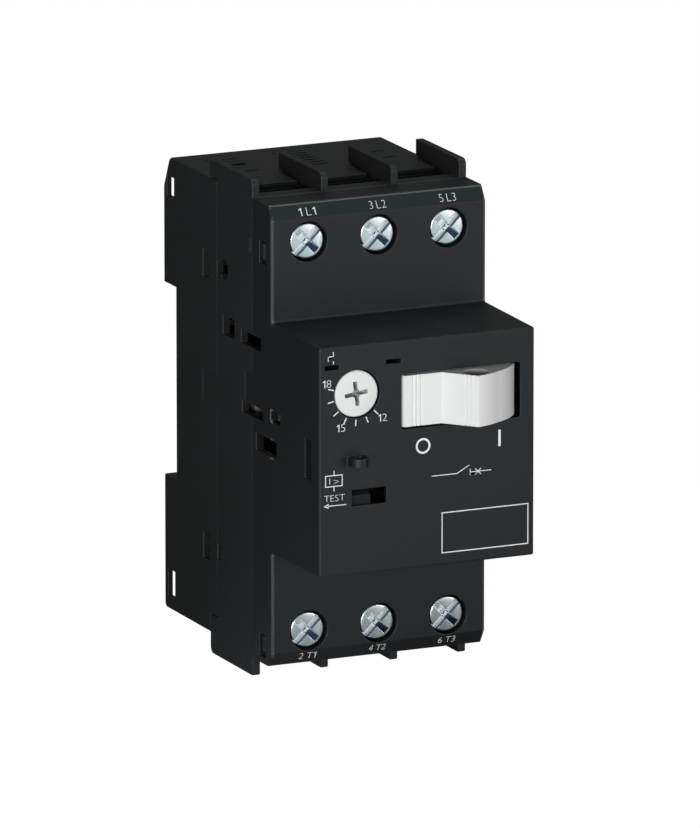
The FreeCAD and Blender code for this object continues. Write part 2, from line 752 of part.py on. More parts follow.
def adjustment_dial():
    head = cyl_y(dial_x, dial_z, dial_radius, y_nose + 0.3, y_nose + 3.1)
    shaft = cyl_y(dial_x, dial_z, cam_low + cam_lift, y_nose + 3.0, y_nose + 8.0)
    spread = cam_travel_deg - cam_rest_deg
    outline = []
    for i in range(25):
        turn = -cam_rest_deg - 6 + (cam_travel_deg + 12) * i / 24
        radius = min(max(cam_at_follower(-turn), cam_low), cam_low + cam_lift)
        angle = math.radians(turn)
        outline.append((dial_x + radius * math.cos(angle), dial_z - radius * math.sin(angle)))
    closing = [spread + 6 + (360 - cam_travel_deg - 12) * i / 12 for i in range(1, 12)]
    for turn in closing:
        angle = math.radians(turn)
        outline.append((dial_x + cam_low * math.cos(angle), dial_z - cam_low * math.sin(angle)))
    cam = prism_y(outline, y_nose + 7.9, y_nose + 10.0)
    slot = box(-dial_slot_half, dial_slot_half, y_nose - 1, y_nose + 1.5, -0.35, 0.35)
    cross = box(-0.35, 0.35, y_nose - 1, y_nose + 1.5, -dial_slot_half, dial_slot_half)
    tools = []
    for tool in (slot, cross):
        tool.rotate(vec(0, 0, 0), vec(0, 1, 0), -dial_tilt_deg)
        tool.translate(vec(dial_x, 0, dial_z))
        tools.append(tool)
    return cut(fuse(head, shaft, cam), *tools)


def compensation_lever():
    """Upper arm rides on the dial's cam; its foot faces the differential lever."""
    front = y_nose + 8.2
    back = y_nose + 9.8
    hub = cyl_y(lever_x, lever_z, 2.0, front, back)
    touch = dial_x + cam_middle + run_gap
    arm = [(lever_x - 1.0, lever_z), (touch, dial_z - 2.5), (touch, dial_z + 1.2)]
    arm += [(touch + 1.3, dial_z + 1.2), (lever_x + 1.2, lever_z)]
    foot = box(lever_foot_x, lever_foot_x + 1.4, front, y_nose + 10.8, -12.0, lever_z)
    bore = cyl_y(lever_x, lever_z, lever_pin + 0.05, front - 1, back + 1)
    return cut(fuse(hub, prism_y(arm, front, back), foot), bore)


def bimetals():
    front = y_nose + 10.9
    strips = [
        box(p - bimetal_offset - bimetal_thick / 2, p - bimetal_offset + bimetal_thick / 2,
            front, y_cover_joint + 0.45, trip_z - bimetal_half, trip_z + bimetal_half)
        for p in poles
    ]
    return Part.makeCompound(strips)


def heater_windings():
    front = y_nose + heater_setback
    back = front + heater_length
    windings = [
        coil_y(p - bimetal_offset, trip_z, heater_radius, heater_wire, front, back, heater_turns) for p in poles
    ]
    return Part.makeCompound(windings)


def fingers(offset, thick, front, back):
    """One finger per pole, beside the bimetal's tip."""
    return [box(p + offset, p + offset + thick, front, back, slide_high - 1, trip_z + 1.2) for p in poles]


def overload_slide():
    front = y_nose + 11.0
    back = front + 1.2
    offset = -bimetal_offset + bimetal_thick / 2 + finger_gap
    bar = box(-half + 2.3, half - 3.4, front, back, slide_low, slide_high)
    pin = cyl_y(diff_x, diff_z, 0.8, y_nose + 9.2, front + 0.5)
    slot_x = 0.7 + slip_travel + run_gap
    slot_z = diff_z - diff_step
    slot = box(diff_x - slot_x, diff_x + 0.8, front - 1, back + 1, slot_z - 0.8, slot_z + 0.8)
    return cut(fuse(bar, pin, *fingers(offset, 1.2, front, back)), slot)


def phase_slide():
    front = y_nose + 12.5
    back = front + 1.2
    offset = -bimetal_offset - bimetal_thick / 2 - slide_travel - 0.05 - 0.5
    bar = box(-half + 3.0, half - 3.4, front, back, slide_low, slide_high)
    pin = cyl_y(diff_x, diff_z - diff_step, 0.7, y_nose + 9.2, front + 0.5)
    return fuse(bar, pin, *fingers(offset, 0.5, front, back))


def differential_lever():
    front = y_nose + 9.3
    back = y_nose + 10.8
    hub = cyl_y(diff_x, diff_z, 1.6, front, back)
    arm = box(diff_x - 0.6, diff_x + 0.6, front, back, diff_z, -10.0)
    tail = box(diff_x - 1.5, diff_x + 1.5, front, back, slide_low + 0.1, diff_z)
    bore = cyl_y(diff_x, diff_z, 0.85, front - 1, back + 1)
    slot_z = diff_z - diff_step
    slot = box(diff_x - 0.75, diff_x + 0.75, front - 1, back + 1, slot_z - 1.0, slot_z + 1.0)
    return cut(fuse(hub, arm, tail), bore, slot)


# ================= Contacts and arc chutes =================
def contact_carrier():
    """Beam across the poles, a framed stem behind each pole and the yoke stem to the crank."""
    stem_half = bridge_half + 0.15 + leg_thick
    window_front = bridge_front - 6.0
    stem_back = bridge_back + 2.0
    stem_z = carrier_half_z - 0.5
    parts = [box(-beam_half, beam_half, beam_front, beam_back, -carrier_half_z, carrier_half_z)]
    tools = []
    for pole in poles:
        parts.append(box(pole - stem_half, pole + stem_half, beam_back - 0.5, stem_back, -stem_z, stem_z))
        inner = stem_half - leg_thick
        tools.append(box(pole - inner, pole + inner, window_front, bridge_back + 0.1, -9, 9))
    pin_x, pin_y = crank_place()
    far_x = rocker_x + crank_radius
    low = carrier_top - carrier_stem
    slot_front = pin_y - crank_pin_radius
    parts.append(box(pin_x - 2.2, far_x + 2.0, slot_front - 1.2, beam_front + 0.5, low, carrier_top))
    slot_x = crank_pin_radius + run_gap
    slot_back = slot_front + 2 * crank_pin_radius + run_gap
    tools.append(box(pin_x - slot_x, far_x + slot_x, slot_front - run_gap, slot_back, low - 1, carrier_top + 1))
    return cut(fuse(*parts), *tools)


def contact_bridge(pole):
    parts = [box(pole - bridge_half, pole + bridge_half, bridge_front, bridge_back, -bridge_reach, bridge_reach)]
    for z in (-contact_z, contact_z):
        parts.append(cyl_y(pole, z, tip_pad_radius, bridge_back, moving_face))
    return fuse(*parts)


def contact_springs():
    front = bridge_front - 6.0 + 0.05
    return Part.makeCompound([coil_y(p, 0, 1.8, 0.25, front, bridge_front - 0.05, 5) for p in poles])


def opening_springs():
    front = beam_back + 0.05
    back = opening_spring_back - 0.05
    sides = (-opening_spring_x, opening_spring_x)
    return Part.makeCompound([coil_y(x, 0, 1.1, 0.25, front, back, 4) for x in sides])


def line_bar(pole):
    """From the upper terminal back over the shelf and down the rear wall to its contact."""
    run = shelf_out + loose_gap
    low = contact_z - tip_pad_radius - 1
    path = [(pad_front, line_z + 4.6), (pad_front, run), (bar_face, run), (bar_face, low), (-wall, low)]
    outer = run + bar_thick
    path += [(-wall, outer), (pad_front + bar_thick, outer), (pad_front + bar_thick, line_z + 4.6)]
    bar = prism_x(path, pole - bar_half, pole + bar_half)
    return fuse(bar, cyl_y(pole, contact_z, tip_pad_radius, fixed_face, bar_face))


def link_bar(pole):
    """From the lower contact down the rear wall, forward and up to the coil's rear end."""
    run = -shelf_in + 0.3
    high = -contact_z + tip_pad_radius + 1
    back_leg = box(pole - bar_half, pole + bar_half, bar_face, -wall, run, high)
    coil_end = coil_back + 0.05
    floor_leg = box(pole + 1.0, pole + 6.0, coil_end, -wall, run, run + bar_thick)
    front_leg = box(pole + 3.6, pole + 6.0, coil_end, coil_end + bar_thick, run, trip_z + 1)
    pad = cyl_y(pole, -contact_z, tip_pad_radius, fixed_face, bar_face)
    return fuse(back_leg, floor_leg, front_leg, pad)


def load_bar(pole):
    """From the bimetal's foot down through the shelf and back to the lower terminal."""
    run = -shelf_out - loose_gap
    foot = y_cover_joint + 0.45
    x = pole - bimetal_offset
    bracket = box(x - 1.5, x + 1.5, foot, foot + bar_thick, run - bar_thick, trip_z + 2)
    floor_leg = box(x - 1.5, pole + bar_half, foot, pad_front + bar_thick, run - bar_thick, run)
    pad = box(pole - bar_half, pole + bar_half, pad_front, pad_front + bar_thick, -load_z - 4.4, run)
    return fuse(bracket, floor_leg, pad)


def arc_chutes(side):
    """Seven steel plates per pole, each notched towards the contacts."""
    plates = []
    for pole in poles:
        for i in range(7):
            z = side * (13.2 + 2.4 * i)
            plate = box(pole - 6.1, pole + 6.1, -16.0, bar_face - 0.25, z, z + side)
            notch = prism_z([(pole - 3.0, -17.0), (pole, -10.0), (pole + 3.0, -17.0)], z - 2, z + 2)
            plates.append(plate.cut(notch))
    return Part.makeCompound(plates)


# ================= Magnetic trip =================


def magnet_coil(pole):
    return coil_y(pole, trip_z, coil_radius, coil_wire, coil_front, coil_back, 7)


def magnet_yokes():
    """A steel U and a guide tube per pole."""
    yokes = []
    for pole in poles:
        left = pole - 5.0
        right = pole + 3.2
        low = trip_z - yoke_drop
        top = trip_z + 4.6
        front = box(left, right, yoke_front, yoke_front + 1.2, low, top)
        base = box(left, right, yoke_front, yoke_back + 1.2, low, low + 1.2)
        rear = box(left, right, yoke_back, yoke_back + 1.2, low, top)
        tube = cyl_y(pole, trip_z, core_radius + 0.75, yoke_front + 1.0, yoke_back + 0.2)
        bore = cyl_y(pole, trip_z, core_radius + run_gap, yoke_front + 1.2, yoke_back)
        hole = cyl_y(pole, trip_z, 0.9, yoke_front - 1, yoke_front + 2)
        yokes.append(cut(fuse(front, base, rear, tube), bore, hole))
    return Part.makeCompound(yokes)


def plunger(pole):
    core = cyl_y(pole, trip_z, core_radius, coil_front + 5.4, yoke_back - 0.05)
    pin = cyl_y(pole, trip_z, 0.8, trip_y - 0.1 + run_gap + plunger_travel, coil_front + 6)
    return fuse(core, pin)


def plunger_springs():
    front = yoke_front + 1.25
    return Part.makeCompound([coil_y(p, trip_z, 1.5, 0.2, front, coil_front + 5.35, 5) for p in poles])


# ================= Terminals =================
def terminal_nuts():
    nuts = []
    for pole in poles:
        for z in (line_z, -load_z):
            plate = box(pole - nut_half, pole + nut_half, nut_front, nut_back, z - 4.7, z + 4.7)
            nuts.append(plate.cut(cyl_y(pole, z, shank_radius + tip_clearance, nut_front - 1, nut_back + 1)))
    return Part.makeCompound(nuts)


def clamp(pole, z):
    """Pressure plate with serrations towards the conductor."""
    back = clamp_front + clamp_thick
    plate = box(pole - clamp_half, pole + clamp_half, clamp_front, back, z - 4.5, z + 4.5)
    grooves = [prism_x([(back + 0.1, z + d - 0.5), (back - 0.35, z + d), (back + 0.1, z + d + 0.5)],
                       pole - clamp_half, pole + clamp_half) for d in (-3.2, -1.6, 1.6, 3.2)]
    return cut(plate, cyl_y(pole, z, tip_radius + tip_clearance, clamp_front - 1, back + 1), *grooves)


def terminal_screw(pole, z):
    """Pan head with a slot and a cross recess, both at 45 degrees."""
    neck = head_face + head_height
    head = cyl_y(pole, z, head_radius, head_face, neck)
    head = round_edges(head, 0.5, lambda b: b.YMax < head_face + 0.1)
    shank = cyl_y(pole, z, shank_radius, neck - 0.1, clamp_front - 0.05)
    tip = cyl_y(pole, z, tip_radius, clamp_front - 0.5, clamp_front + clamp_thick)
    tools = []
    for turn, long, wide, deep in ((-45, head_radius + 1, 0.5, 0.9), (-45, 2.3, 0.5, 1.6), (45, 2.3, 0.5, 1.6)):
        tool = box(-long, long, head_face - 1, head_face + deep, -wide, wide)
        tool.rotate(vec(0, 0, 0), vec(0, 1, 0), turn)
        tool.translate(vec(pole, 0, z))
        tools.append(tool)
    return cut(fuse(head, shank, tip), *tools)


# ================= Rail latch =================
def rail_latch():
    """Sliding latch with its nose under the rail and its tab below the housing."""
    front = flange_gap
    back = front + latch_thick
    outline = [(front, -latch_tab), (back, -latch_tab), (back, -lip_bottom), (front + 0.9, -lip_bottom)]
    outline += [(front, -lip_bottom - 0.9)]
    plate = prism_x(outline, -latch_half, latch_half)
    spring_room = box(-2.2, 2.2, front - 1, back + 1, -40.5, -29.0)
    blade = box(-2.5, 2.5, front - 1, back + 1, -latch_tab + 0.9, -latch_tab + 2.0)
    return cut(plate, spring_room, blade)


def rail_latch_spring():
    y = flange_gap + latch_thick / 2
    return coil_z(0, y, 0.95, 0.2, -38.65, -29.05, 8)


# ================= All the pieces =================
pieces = {
    "rear_housing": rear_housing(),
    "middle_housing": middle_housing(),
    "front_cover": front_cover(),
    "rocker": rocker(),
    "rocker_shaft": rocker_shaft(),
    "rocker_spring": rocker_spring(),
    "crank_pin": crank_pin(),
    "lock_frame": lock_frame(),
    "latch_lever": latch_lever(),
    "latch_pin": latch_pin(),
    "latch_spring": latch_spring(),
    "trip_bar": trip_bar(),
    "test_slider": test_slider(),
    "adjustment_dial": adjustment_dial(),
    "compensation_lever": compensation_lever(),
    "bimetals": bimetals(),
    "heater_windings": heater_windings(),
    "overload_slide": overload_slide(),
    "phase_slide": phase_slide(),
    "differential_lever": differential_lever(),
    "contact_carrier": contact_carrier(),
    "contact_springs": contact_springs(),
    "opening_springs": opening_springs(),
    "arc_chutes_line": arc_chutes(1),
    "arc_chutes_load": arc_chutes(-1),
    "magnet_yokes": magnet_yokes(),
    "plunger_springs": plunger_springs(),
    "terminal_nuts": terminal_nuts(),
    "rail_latch": rail_latch(),
    "rail_latch_spring": rail_latch_spring(),
}
for number, pole_x in enumerate(poles, start=1):
    pieces[f"contact_bridge_{number}"] = contact_bridge(pole_x)
    pieces[f"line_bar_{number}"] = line_bar(pole_x)
    pieces[f"link_bar_{number}"] = link_bar(pole_x)
    pieces[f"load_bar_{number}"] = load_bar(pole_x)
    pieces[f"magnet_coil_{number}"] = magnet_coil(pole_x)
    pieces[f"plunger_{number}"] = plunger(pole_x)
    pieces[f"line_clamp_{number}"] = clamp(pole_x, line_z)
    pieces[f"load_clamp_{number}"] = clamp(pole_x, -load_z)
    pieces[f"line_screw_{number}"] = terminal_screw(pole_x, line_z)
    pieces[f"load_screw_{number}"] = terminal_screw(pole_x, -load_z)

os.makedirs("parts", exist_ok=True)
for name, shape in pieces.items():
    shape.exportStep(f"parts/{name}.step")
    print(name, len(shape.Solids), shape.isValid(), round(shape.Volume, 1))
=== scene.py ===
import json
import math
import bpy
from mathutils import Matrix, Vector


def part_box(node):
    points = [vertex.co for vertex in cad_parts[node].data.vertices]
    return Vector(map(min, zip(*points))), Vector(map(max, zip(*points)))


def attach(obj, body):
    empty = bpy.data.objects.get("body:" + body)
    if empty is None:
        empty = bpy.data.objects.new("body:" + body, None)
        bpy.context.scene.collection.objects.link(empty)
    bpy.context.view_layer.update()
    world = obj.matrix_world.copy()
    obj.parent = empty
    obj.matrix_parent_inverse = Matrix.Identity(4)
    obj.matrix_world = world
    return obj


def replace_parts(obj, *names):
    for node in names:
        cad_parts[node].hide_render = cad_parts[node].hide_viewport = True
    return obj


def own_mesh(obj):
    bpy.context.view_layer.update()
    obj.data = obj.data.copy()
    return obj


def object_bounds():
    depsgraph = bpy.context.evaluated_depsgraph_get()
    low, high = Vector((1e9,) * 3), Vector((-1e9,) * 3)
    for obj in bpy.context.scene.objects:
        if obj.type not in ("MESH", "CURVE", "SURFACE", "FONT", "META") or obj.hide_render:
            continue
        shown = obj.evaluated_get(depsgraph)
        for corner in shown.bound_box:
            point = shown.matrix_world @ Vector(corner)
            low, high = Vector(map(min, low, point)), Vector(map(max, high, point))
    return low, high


# Motor protection breaker: finishes for every piece of the frame, and finely modelled
# pieces for the rocker, the dial, the terminal screws and the printed marks.
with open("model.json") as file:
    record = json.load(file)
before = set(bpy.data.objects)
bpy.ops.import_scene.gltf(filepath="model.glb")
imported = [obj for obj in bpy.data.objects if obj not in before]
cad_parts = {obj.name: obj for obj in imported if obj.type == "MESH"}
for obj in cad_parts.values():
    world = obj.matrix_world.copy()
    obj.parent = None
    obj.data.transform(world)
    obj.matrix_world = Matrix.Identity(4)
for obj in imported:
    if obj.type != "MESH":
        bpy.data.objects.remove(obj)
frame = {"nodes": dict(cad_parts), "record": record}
cad_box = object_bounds()
MM = 0.001

nodes = frame["nodes"]
NOSE_Y = -67.65
TERMINAL_Y = NOSE_Y + 22.1


# ---------------------------------------------------------------- mesh helpers
def pick(piece):
    """Make one object the only selected and active one."""
    bpy.ops.object.select_all(action="DESELECT")
    piece.select_set(True)
    bpy.context.view_layer.objects.active = piece


def settle(piece):
    """Put the object's place, turn and scale into its mesh."""
    pick(piece)
    bpy.ops.object.transform_apply(location=True, rotation=True, scale=True)
    return piece


def clean(piece, smooth_deg=35):
    pick(piece)
    bpy.ops.object.mode_set(mode="EDIT")
    bpy.ops.mesh.select_all(action="SELECT")
    bpy.ops.mesh.remove_doubles(threshold=0.000002)
    bpy.ops.mesh.normals_make_consistent(inside=False)
    bpy.ops.object.mode_set(mode="OBJECT")
    bpy.ops.object.shade_smooth_by_angle(angle=math.radians(smooth_deg))
    return piece


def outline_solid(name, outlines, low, high, bevel=0.0, steps=3):
    """A flat outline, with any holes, drawn in millimetres and pulled up from low to high."""
    curve = bpy.data.curves.new(name, "CURVE")
    curve.dimensions = "2D"
    curve.fill_mode = "BOTH"
    for outline in outlines:
        spline = curve.splines.new("POLY")
        spline.points.add(len(outline) - 1)
        for point, (x, y) in zip(spline.points, outline):
            point.co = (x * MM, y * MM, 0.0, 1.0)
        spline.use_cyclic_u = True
    curve.extrude = ((high - low) / 2 - bevel) * MM
    curve.bevel_depth = bevel * MM
    curve.bevel_resolution = steps
    curve.offset = -bevel * MM
    piece = bpy.data.objects.new(name, curve)
    bpy.context.scene.collection.objects.link(piece)
    pick(piece)
    bpy.ops.object.convert(target="MESH")
    piece = bpy.context.object
    piece.name = name
    piece.location = (0, 0, (low + high) / 2 * MM)
    return piece


def face_forward(piece):
    """Stand a flat drawing up so that it faces the user, with its depth along Y."""
    piece.rotation_euler = (math.radians(90), 0, 0)
    depth = piece.location.z
    piece.location = (0, -depth, 0)
    return settle(piece)


def carve(piece, cutter):
    """Cut one piece with another, then drop the cutter."""
    pick(piece)
    cut = piece.modifiers.new("cut", "BOOLEAN")
    cut.operation = "DIFFERENCE"
    cut.solver = "EXACT"
    cut.object = cutter
    bpy.ops.object.modifier_apply(modifier="cut")
    bpy.data.objects.remove(cutter)
    return piece


def join(pieces, name):
    pick(pieces[0])
    for piece in pieces[1:]:
        piece.select_set(True)
    bpy.ops.object.join()
    pieces[0].name = name
    return pieces[0]


def round_edges(piece, width, segments=3, angle=40):
    pick(piece)
    bevel = piece.modifiers.new("round", "BEVEL")
    bevel.width = width * MM
    bevel.segments = segments
    bevel.limit_method = "ANGLE"
    bevel.angle_limit = math.radians(angle)
    bpy.ops.object.modifier_apply(modifier="round")
    return piece


def arc(cx, cy, radius, start, end, count):
    step = (end - start) / (count - 1)
    turns = [math.radians(start + step * i) for i in range(count)]
    return [(cx + radius * math.cos(t), cy + radius * math.sin(t)) for t in turns]


def ring(cx, cy, radius, count=48):
    return arc(cx, cy, radius, 0, 360 - 360 / count, count)


def bar(ax, ay, bx, by, width):
    """Outline of a straight stroke between two points."""
    length = math.hypot(bx - ax, by - ay)
    nx = -(by - ay) / length * width / 2
    ny = (bx - ax) / length * width / 2
    return [(ax + nx, ay + ny), (ax - nx, ay - ny), (bx - nx, by - ny), (bx + nx, by + ny)]


# ---------------------------------------------------------------- shared node groups
def new_group(name, inputs, outputs):
    group = bpy.data.node_groups.new(name, "ShaderNodeTree")
    for label, kind, value in inputs:
        socket = group.interface.new_socket(label, in_out="INPUT", socket_type=kind)
        if value is not None:
            socket.default_value = value
    for label, kind in outputs:
        group.interface.new_socket(label, in_out="OUTPUT", socket_type=kind)
    return group, group.nodes.new("NodeGroupInput"), group.nodes.new("NodeGroupOutput")


def moulded_grain():
    """Fine spark-eroded grain of a moulded skin, with slow tone drift and faint handling marks."""
    group, entry, exit_ = new_group(
        "moulded_grain",
        [("Grain", "NodeSocketFloat", 4000.0), ("Drift", "NodeSocketFloat", 60.0)],
        [("Height", "NodeSocketFloat"), ("Tone", "NodeSocketFloat"), ("Rub", "NodeSocketFloat")],
    )
    make, link = group.nodes.new, group.links.new
    place = make("ShaderNodeTexCoord")
    grain = make("ShaderNodeTexNoise")
    grain.inputs["Detail"].default_value = 3
    link(place.outputs["Object"], grain.inputs["Vector"])
    link(entry.outputs["Grain"], grain.inputs["Scale"])
    link(grain.outputs["Fac"], exit_.inputs["Height"])
    drift = make("ShaderNodeTexNoise")
    drift.inputs["Detail"].default_value = 2
    link(place.outputs["Object"], drift.inputs["Vector"])
    link(entry.outputs["Drift"], drift.inputs["Scale"])
    link(drift.outputs["Fac"], exit_.inputs["Tone"])
    smear = make("ShaderNodeMapping")
    smear.inputs["Scale"].default_value = (1.0, 1.0, 0.22)
    link(place.outputs["Object"], smear.inputs["Vector"])
    rub = make("ShaderNodeTexNoise")
    rub.inputs["Scale"].default_value = 420
    rub.inputs["Detail"].default_value = 4
    rub.inputs["Roughness"].default_value = 0.7
    link(smear.outputs["Vector"], rub.inputs["Vector"])
    gate = make("ShaderNodeMapRange")
    gate.inputs["From Min"].default_value = 0.55
    gate.inputs["From Max"].default_value = 0.75
    link(rub.outputs["Fac"], gate.inputs["Value"])
    link(gate.outputs["Result"], exit_.inputs["Rub"])
    return group


def edge_shine():
    """How near a point is to an outer edge, and the normal rounded over that edge."""
    group, entry, exit_ = new_group(
        "edge_shine",
        [("Radius", "NodeSocketFloat", 0.0004), ("Reach", "NodeSocketFloat", 0.86)],
        [("Edge", "NodeSocketFloat"), ("Round", "NodeSocketVector")],
    )
    make, link = group.nodes.new, group.links.new
    rounded = make("ShaderNodeBevel")
    rounded.samples = 8
    link(entry.outputs["Radius"], rounded.inputs["Radius"])
    plain = make("ShaderNodeNewGeometry")
    dot = make("ShaderNodeVectorMath")
    dot.operation = "DOT_PRODUCT"
    link(rounded.outputs["Normal"], dot.inputs[0])
    link(plain.outputs["Normal"], dot.inputs[1])
    near = make("ShaderNodeMapRange")
    near.inputs["From Min"].default_value = 1.0
    link(entry.outputs["Reach"], near.inputs["From Max"])
    link(dot.outputs["Value"], near.inputs["Value"])
    link(near.outputs["Result"], exit_.inputs["Edge"])
    link(rounded.outputs["Normal"], exit_.inputs["Round"])
    return group


def turned_metal():
    """Plating mottle and fine drawn lines of small metal pieces."""
    group, entry, exit_ = new_group(
        "turned_metal",
        [("Lines", "NodeSocketFloat", 900.0), ("Mottle", "NodeSocketFloat", 700.0)],
        [("Height", "NodeSocketFloat"), ("Tone", "NodeSocketFloat")],
    )
    make, link = group.nodes.new, group.links.new
    place = make("ShaderNodeTexCoord")
    stretch = make("ShaderNodeMapping")
    stretch.inputs["Scale"].default_value = (1.0, 0.08, 1.0)
    link(place.outputs["Object"], stretch.inputs["Vector"])
    lines = make("ShaderNodeTexNoise")
    lines.inputs["Detail"].default_value = 2
    link(stretch.outputs["Vector"], lines.inputs["Vector"])
    link(entry.outputs["Lines"], lines.inputs["Scale"])
    link(lines.outputs["Fac"], exit_.inputs["Height"])
    mottle = make("ShaderNodeTexNoise")
    mottle.inputs["Detail"].default_value = 3
    link(place.outputs["Object"], mottle.inputs["Vector"])
    link(entry.outputs["Mottle"], mottle.inputs["Scale"])
    link(mottle.outputs["Fac"], exit_.inputs["Tone"])
    return group


GRAIN = moulded_grain()
SHINE = edge_shine()
TURNED = turned_metal()


# ---------------------------------------------------------------- materials
def fresh(name):
    material = bpy.data.materials.new(name)
    material.use_nodes = True
    tree = material.node_tree
    return material, tree, tree.nodes["Principled BSDF"]


def use(tree, group):
    node = tree.nodes.new("ShaderNodeGroup")
    node.node_tree = group
    return node


def blend_colours(tree, low, high, factor):
    mix = tree.nodes.new("ShaderNodeMix")
    mix.data_type = "RGBA"
    tree.links.new(factor, mix.inputs["Factor"])
    for value, socket in ((low, mix.inputs[6]), (high, mix.inputs[7])):
        if isinstance(value, tuple):
            socket.default_value = (*value, 1.0)
        else:
            tree.links.new(value, socket)
    return mix.outputs[2]


def calc(tree, operation, *values):
    """One arithmetic node; each value is a number or another node's output."""
    node = tree.nodes.new("ShaderNodeMath")
    node.operation = operation
    for socket, value in zip(node.inputs, values):
        if isinstance(value, (int, float)):
            socket.default_value = value
        else:
            tree.links.new(value, socket)
    return node.outputs["Value"]


def axes_of(tree, output):
    """The X, Y and Z outputs of a point or direction given by a coordinate output."""
    parts = tree.nodes.new("ShaderNodeSeparateXYZ")
    tree.links.new(tree.nodes.new("ShaderNodeTexCoord").outputs[output], parts.inputs["Vector"])
    return parts.outputs


def ramp(tree, value, start, end, low, high):
    """Map the stretch from start to end onto low to high, held at both ends."""
    node = tree.nodes.new("ShaderNodeMapRange")
    for label, number in (("From Min", start), ("From Max", end), ("To Min", low), ("To Max", high)):
        node.inputs[label].default_value = number
    tree.links.new(value, node.inputs["Value"])
    return node.outputs["Result"]


def spread(tree, value, low, high):
    """Map a 0 to 1 value onto a roughness range."""
    return ramp(tree, value, 0.0, 1.0, low, high)


def moulded(name, dark, light, edge_highlight, rough, specular=0.35, bump=0.12, grain=4200.0, radius=0.0003,
            reach=0.86):
    """Moulded plastic: two close tones, edges painted paler as a painted highlight, grain and slightly
    polished rubs.
    """
    material, tree, shader = fresh(name)
    skin = use(tree, GRAIN)
    skin.inputs["Grain"].default_value = grain
    rim = use(tree, SHINE)
    rim.inputs["Radius"].default_value = radius
    rim.inputs["Reach"].default_value = reach
    tone = blend_colours(tree, dark, light, skin.outputs["Tone"])
    # Painted highlight: the edge colour is blended in near outer edges.
    colour = blend_colours(tree, tone, edge_highlight, rim.outputs["Edge"])
    tree.links.new(colour, shader.inputs["Base Color"])
    matt = spread(tree, skin.outputs["Tone"], rough - 0.05, rough + 0.06)
    polish = spread(tree, skin.outputs["Rub"], 0.0, 0.07)
    tree.links.new(calc(tree, "SUBTRACT", matt, polish), shader.inputs["Roughness"])
    shader.inputs["Specular IOR Level"].default_value = specular
    relief = tree.nodes.new("ShaderNodeBump")
    relief.inputs["Strength"].default_value = bump
    relief.inputs["Distance"].default_value = 0.00004
    tree.links.new(skin.outputs["Height"], relief.inputs["Height"])
    tree.links.new(rim.outputs["Round"], relief.inputs["Normal"])
    tree.links.new(relief.outputs["Normal"], shader.inputs["Normal"])
    return material


def paint_corner_highlights(material, tone):
    """Paint a pale highlight on the cover's skin along its top chamfer and down the corners beside the screws.
    """
    tree = material.node_tree
    shader = tree.nodes["Principled BSDF"]
    axes = axes_of(tree, "Object")
    rim = use(tree, SHINE)
    rim.inputs["Radius"].default_value = 0.0005
    rim.inputs["Reach"].default_value = 0.97
    out = calc(tree, "ABSOLUTE", axes["X"])
    side = ramp(tree, out, 0.0218, 0.0221, 0.0, 0.55)
    face_back = ramp(tree, axes["Y"], (TERMINAL_Y + 0.7) * MM, (TERMINAL_Y + 0.4) * MM, 0.0, 1.0)
    face_front = ramp(tree, axes["Y"], (TERMINAL_Y - 0.7) * MM, (TERMINAL_Y - 0.4) * MM, 0.0, 1.0)
    corner = calc(tree, "MULTIPLY", calc(tree, "MULTIPLY", side, face_back), face_front)
    top = ramp(tree, axes["Z"], 0.0446, 0.0449, 0.0, 1.0)
    inside = ramp(tree, out, 0.0223, 0.0220, 0.0, 1.0)
    where = calc(tree, "MAXIMUM", corner, calc(tree, "MULTIPLY", top, inside))
    # Painted highlight: a pale tone near the chamfer's top edge and the corner edges.
    highlight = calc(tree, "MULTIPLY", rim.outputs["Edge"], where)
    skin = shader.inputs["Base Color"].links[0].from_socket
    tree.links.new(blend_colours(tree, skin, tone, highlight), shader.inputs["Base Color"])


def metal(name, dark, light, rough, bump=0.05, lines=900.0, radius=0.00012):
    """Bare or plated metal with mottle, drawn lines and softened edges."""
    material, tree, shader = fresh(name)
    skin = use(tree, TURNED)
    skin.inputs["Lines"].default_value = lines
    rim = use(tree, SHINE)
    rim.inputs["Radius"].default_value = radius
    tree.links.new(blend_colours(tree, dark, light, skin.outputs["Tone"]), shader.inputs["Base Color"])
    shader.inputs["Metallic"].default_value = 1.0
    tree.links.new(spread(tree, skin.outputs["Tone"], rough - 0.04, rough + 0.08), shader.inputs["Roughness"])
    relief = tree.nodes.new("ShaderNodeBump")
    relief.inputs["Strength"].default_value = bump
    relief.inputs["Distance"].default_value = 0.00003
    tree.links.new(skin.outputs["Height"], relief.inputs["Height"])
    tree.links.new(rim.outputs["Round"], relief.inputs["Normal"])
    tree.links.new(relief.outputs["Normal"], shader.inputs["Normal"])
    return material


def printed(name, ink, worn):
    """White pad-printed ink, a little thin in places."""
    material, tree, shader = fresh(name)
    skin = use(tree, GRAIN)
    skin.inputs["Grain"].default_value = 2600.0
    tree.links.new(blend_colours(tree, ink, worn, skin.outputs["Rub"]), shader.inputs["Base Color"])
    tree.links.new(spread(tree, skin.outputs["Tone"], 0.42, 0.58), shader.inputs["Roughness"])
    return material
